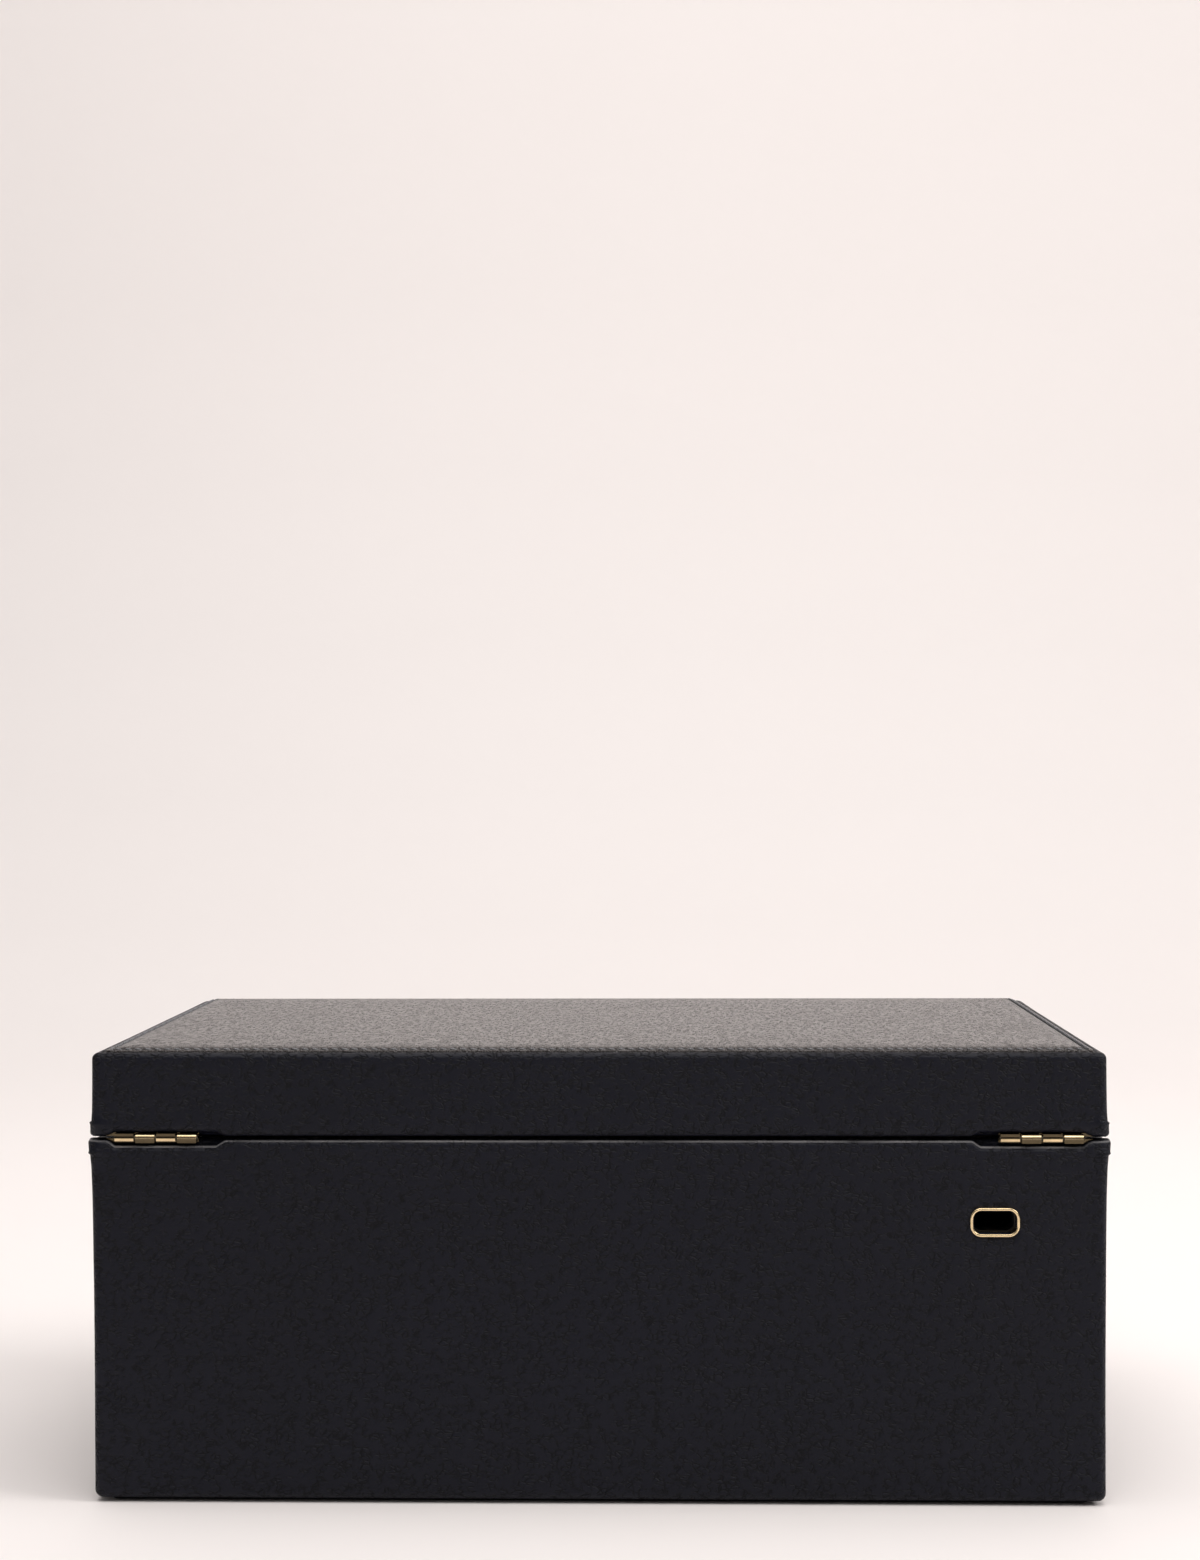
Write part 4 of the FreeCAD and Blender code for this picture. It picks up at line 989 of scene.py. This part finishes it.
def watch_pillows():
    """Two pillows, each sewn from a band and two ends, with piping along both seams."""
    for side in ("left", "right"):
        low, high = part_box("watch_pillow_" + side)
        side_slack, end_slack, top_slack = 0.9 * mm, 0.5 * mm, 0.8 * mm
        form_low = low + Vector((side_slack, end_slack, 0.1 * mm))
        form_high = high - Vector((side_slack, end_slack, top_slack))
        bm = soft_form(form_low, form_high, 10 * mm, top_edge=11 * mm, foot_edge=8 * mm,
                       step=4 * mm,
                       crown=2.0 * mm)
        bm = plumped("watch_pillow_" + side, bm, voxel=3.4 * mm, limit=2.2 * mm)
        ends = [low.y + 9 * mm, high.y - 9 * mm]
        nip, nip_reach = 0.035, 2.6 * mm        # how far a seam draws the pillow in, and how wide
        for v in bm.verts:
            v.co.z = max(v.co.z, low.z + 0.05 * mm)
            for seam in ends:
                pull = math.exp(-((v.co.y - seam) / nip_reach) ** 2)
                centre = Vector(((low.x + high.x) / 2, v.co.y, (low.z + high.z) / 2))
                if v.co.z > low.z + 1 * mm:
                    v.co += (centre - v.co) * nip * pull
        outlines = [girth(bm, seam) for seam in ends]
        stuffed("watch_pillow_%s_cushion" % side, bm, "base", ["watch_pillow_" + side])
        for i, outline in enumerate(outlines):
            piping("watch_pillow_%s_piping_%d" % (side, i + 1), outline, 0.9 * mm, low.z)


def girth(bm, y):
    """The outline of a closed form where a plane across Y cuts it, in order round it."""
    cut = bm.copy()
    sliced = bmesh.ops.bisect_plane(cut, geom=cut.verts[:] + cut.edges[:] + cut.faces[:],
                                    plane_co=(0, y, 0), plane_no=(0, 1, 0))
    points = [v.co.copy() for v in sliced["geom_cut"] if isinstance(v, bmesh.types.BMVert)]
    cut.free()
    middle = sum(points, Vector()) / len(points)
    points.sort(key=lambda p: math.atan2(p.z - middle.z, p.x - middle.x))
    return points


def piping(name, outline, radius, lowest):
    """A covered cord sewn into a seam."""
    curve = bpy.data.curves.new(name, "CURVE")
    curve.dimensions = "3D"
    curve.bevel_depth, curve.bevel_resolution = radius, 2
    spline = curve.splines.new("NURBS")
    kept = outline[::3]
    spline.points.add(len(kept) - 1)
    for place, p in zip(spline.points, kept):
        place.co = (p.x, p.y, max(p.z, lowest + radius), 1)
    spline.use_cyclic_u = True
    spline.order_u = 4
    rough = bpy.data.objects.new(name, curve)
    bpy.context.scene.collection.objects.link(rough)
    mesh = finished_mesh(rough)
    bpy.data.objects.remove(rough)
    bm = bmesh.new()
    bm.from_mesh(mesh)
    bmesh.ops.remove_doubles(bm, verts=bm.verts, dist=1e-6)
    bmesh.ops.recalc_face_normals(bm, faces=bm.faces)
    new_piece(name, bm, "base", "suede_padding")


def mirror_surround():
    """A padded frame round the mirror, its cloth mitred at the corners, rolled over the glass."""
    low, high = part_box("lid_mirror_frame")
    glass_low, glass_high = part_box("lid_mirror")
    overlap = 3.0 * mm                          # of the frame over the glass
    window_x, window_y = glass_high.x - overlap, glass_high.y - overlap
    around = stations(high.x, high.y, 1.5 * mm, 4 * mm)
    outer = ring_at(around, high.x, high.y, 1.5 * mm, 0.2 * mm, 0)
    face, glass_face = low.z, glass_low.z
    roll = [(0.012, 1.1), (0.045, 0.35), (0.10, 0.0), (0.2, -0.25), (0.35, -0.4), (0.5, -0.45),
            (0.65, -0.4), (0.8, -0.2), (0.91, 0.1), (0.97, 0.6), (0.995, 1.6), (1.0, 3.0)]
    profile = [(0.0, glass_face + 0.1 * mm), (0.0, glass_face - 1.0 * mm)]
    profile += [(share, face + height * mm) for share, height in roll] + [(1.0, high.z - 0.1 * mm)]
    slope = (high.y - window_y) / (high.x - window_x)
    mitre_depth, mitre_reach, wave_depth, wave_scale = 0.9 * mm, 1.3 * mm, 0.12 * mm, 30
    rings = []
    for share, z in profile:
        loop = []
        for p in outer:
            x, y = p.x * window_x / high.x, p.y * window_y / high.y
            q = Vector((x + (p.x - x) * share, y + (p.y - y) * share, z))
            off = abs(abs(q.y) - window_y - (abs(q.x) - window_x) * slope) / math.hypot(1, slope)
            across = math.sin(math.pi * min(max(share, 0.0), 1.0)) ** 0.4
            q.z += mitre_depth * math.exp(-(off / mitre_reach) ** 2) * across
            q.z += wave_depth * noise.noise(Vector((q.x * wave_scale, q.y * wave_scale, 5)))
            loop.append(q)
        rings.append(loop)
    bm = lofted(rings)
    face_outwards(bm, Vector((0, 0, high.z + 5 * mm)))
    frame_pad = new_piece("mirror_surround", bm, "lid", "suede_lining",
                          stands_for=["lid_mirror_frame"])


# ---- Boards covered in cloth ----
def covered_board(name, low, high, body, node):
    """A card or board with suede drawn over its top edge."""
    bm = soft_form(low, high, 0.4 * mm, top_edge=1.35 * mm, foot_edge=0.2 * mm, step=5 * mm)
    unsettle(bm, 0.07 * mm)
    new_piece(name, bm, body, "suede_lining", stands_for=[node])


def covered_boards():
    """The dividers of the base and the drawer, and the felt under the base."""
    for node in ("divider_left", "divider_right", "divider_middle", "divider_charging_bay",
                 "earring_divider_long", "earring_divider_cross"):
        covered_board(node + "_covered", *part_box(node), "base", node)
    for i, box in enumerate(separate_boxes("drawer_dividers")):
        covered_board("drawer_divider_%d" % (i + 1), *box, "drawer", "drawer_dividers")
    low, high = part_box("base_underside_pad")
    bm = soft_form(low, high, 4 * mm, top_edge=0.5 * mm, foot_edge=0.4 * mm, step=8 * mm)
    new_piece("underside_pad", bm, "base", "underside_felt", stands_for=["base_underside_pad"])


def unsettle(bm, amount):
    """Small unevenness, as cloth has on card."""
    waves_per_metre = 38
    for v in bm.verts:
        v.co.x += amount * noise.noise(v.co * waves_per_metre)
        v.co.y += amount * noise.noise(v.co * waves_per_metre + Vector((7, 0, 3)))


def separate_boxes(node):
    """The (low, high) corners of each separate solid in a node."""
    bm = bmesh.new()
    bm.from_mesh(frame["nodes"][node].data)
    bmesh.ops.remove_doubles(bm, verts=bm.verts, dist=1e-6)
    waiting, found = set(bm.verts), []
    while waiting:
        front, island = [min(waiting, key=lambda v: v.index)], set()
        while front:
            v = front.pop()
            if v in island:
                continue
            island.add(v)
            front += [e.other_vert(v) for e in v.link_edges]
        waiting -= island
        xyz = list(zip(*(v.co for v in island)))
        found.append((Vector(min(c) for c in xyz), Vector(max(c) for c in xyz)))
    bm.free()
    return sorted(found, key=lambda pair: (pair[0].x, pair[0].y))


# ---- Brass rim of the cable port ----
def port_rim():
    """A domed lip on the leather, and the sleeve behind it."""
    band, radius, root = 0.92 * mm, 3.4 * mm, 0.1 * mm
    proud = port_high.y - half_d
    half_x, half_z = (port_high.x - port_low.x) / 2, (port_high.z - port_low.z) / 2
    middle_x, middle_z = (port_low.x + port_high.x) / 2, (port_low.z + port_high.z) / 2
    around = stations(half_x, half_z, radius, 0.8 * mm, corner_steps=12)
    profile = [(0.02 * mm, -0.4 * mm), (0.0, root)]
    for degrees in range(15, 180, 15):
        angle = math.radians(degrees)
        lift = (proud - root) * math.sin(angle) ** 0.7
        profile.append((band / 2 * (1 - math.cos(angle)), root + lift))
    profile += [(band, root), (band, -0.6 * mm), (band, port_low.y - half_d)]
    rings = []
    for inset, out in profile:
        loop = ring_at(around, half_x, half_z, radius, inset, 0)
        rings.append([Vector((middle_x + p.x, half_d + out, middle_z + p.y)) for p in loop])
    bm = lofted(rings)
    bmesh.ops.recalc_face_normals(bm, faces=bm.faces)
    outer = [f for f in bm.faces if f.calc_center_median().y > half_d + proud * 0.8]
    if sum(f.normal.y for f in outer) < 0:
        bmesh.ops.reverse_faces(bm, faces=bm.faces)
    new_piece("port_rim", bm, "base", "port_brass", stands_for=["cable_port_bezel"])


# ---- Finish of the CAD pieces ----
def finish_for(entry):
    """A hinge piece has its own metal, and every other piece the finish of its slot."""
    for start, hinge_metal in hinge_metals.items():
        if entry["node"].startswith(start):
            return hinge_metal
    return finishes[entry["material_slot"]]


def dress_frame():
    """Gives every CAD piece its finish."""
    for entry in frame["record"]["subparts"]:
        obj, finish = frame["nodes"][entry["node"]], finish_for(entry)
        if not obj.material_slots:
            obj.data.materials.append(finish)
        for place in obj.material_slots:
            place.material = finish


camera()
staging()
dress_frame()
base_cover()
lid_cover()
top_panel()
drawer_cover()
port_rim()
covered_boards()
mirror_surround()
ring_rolls()
watch_pillows()
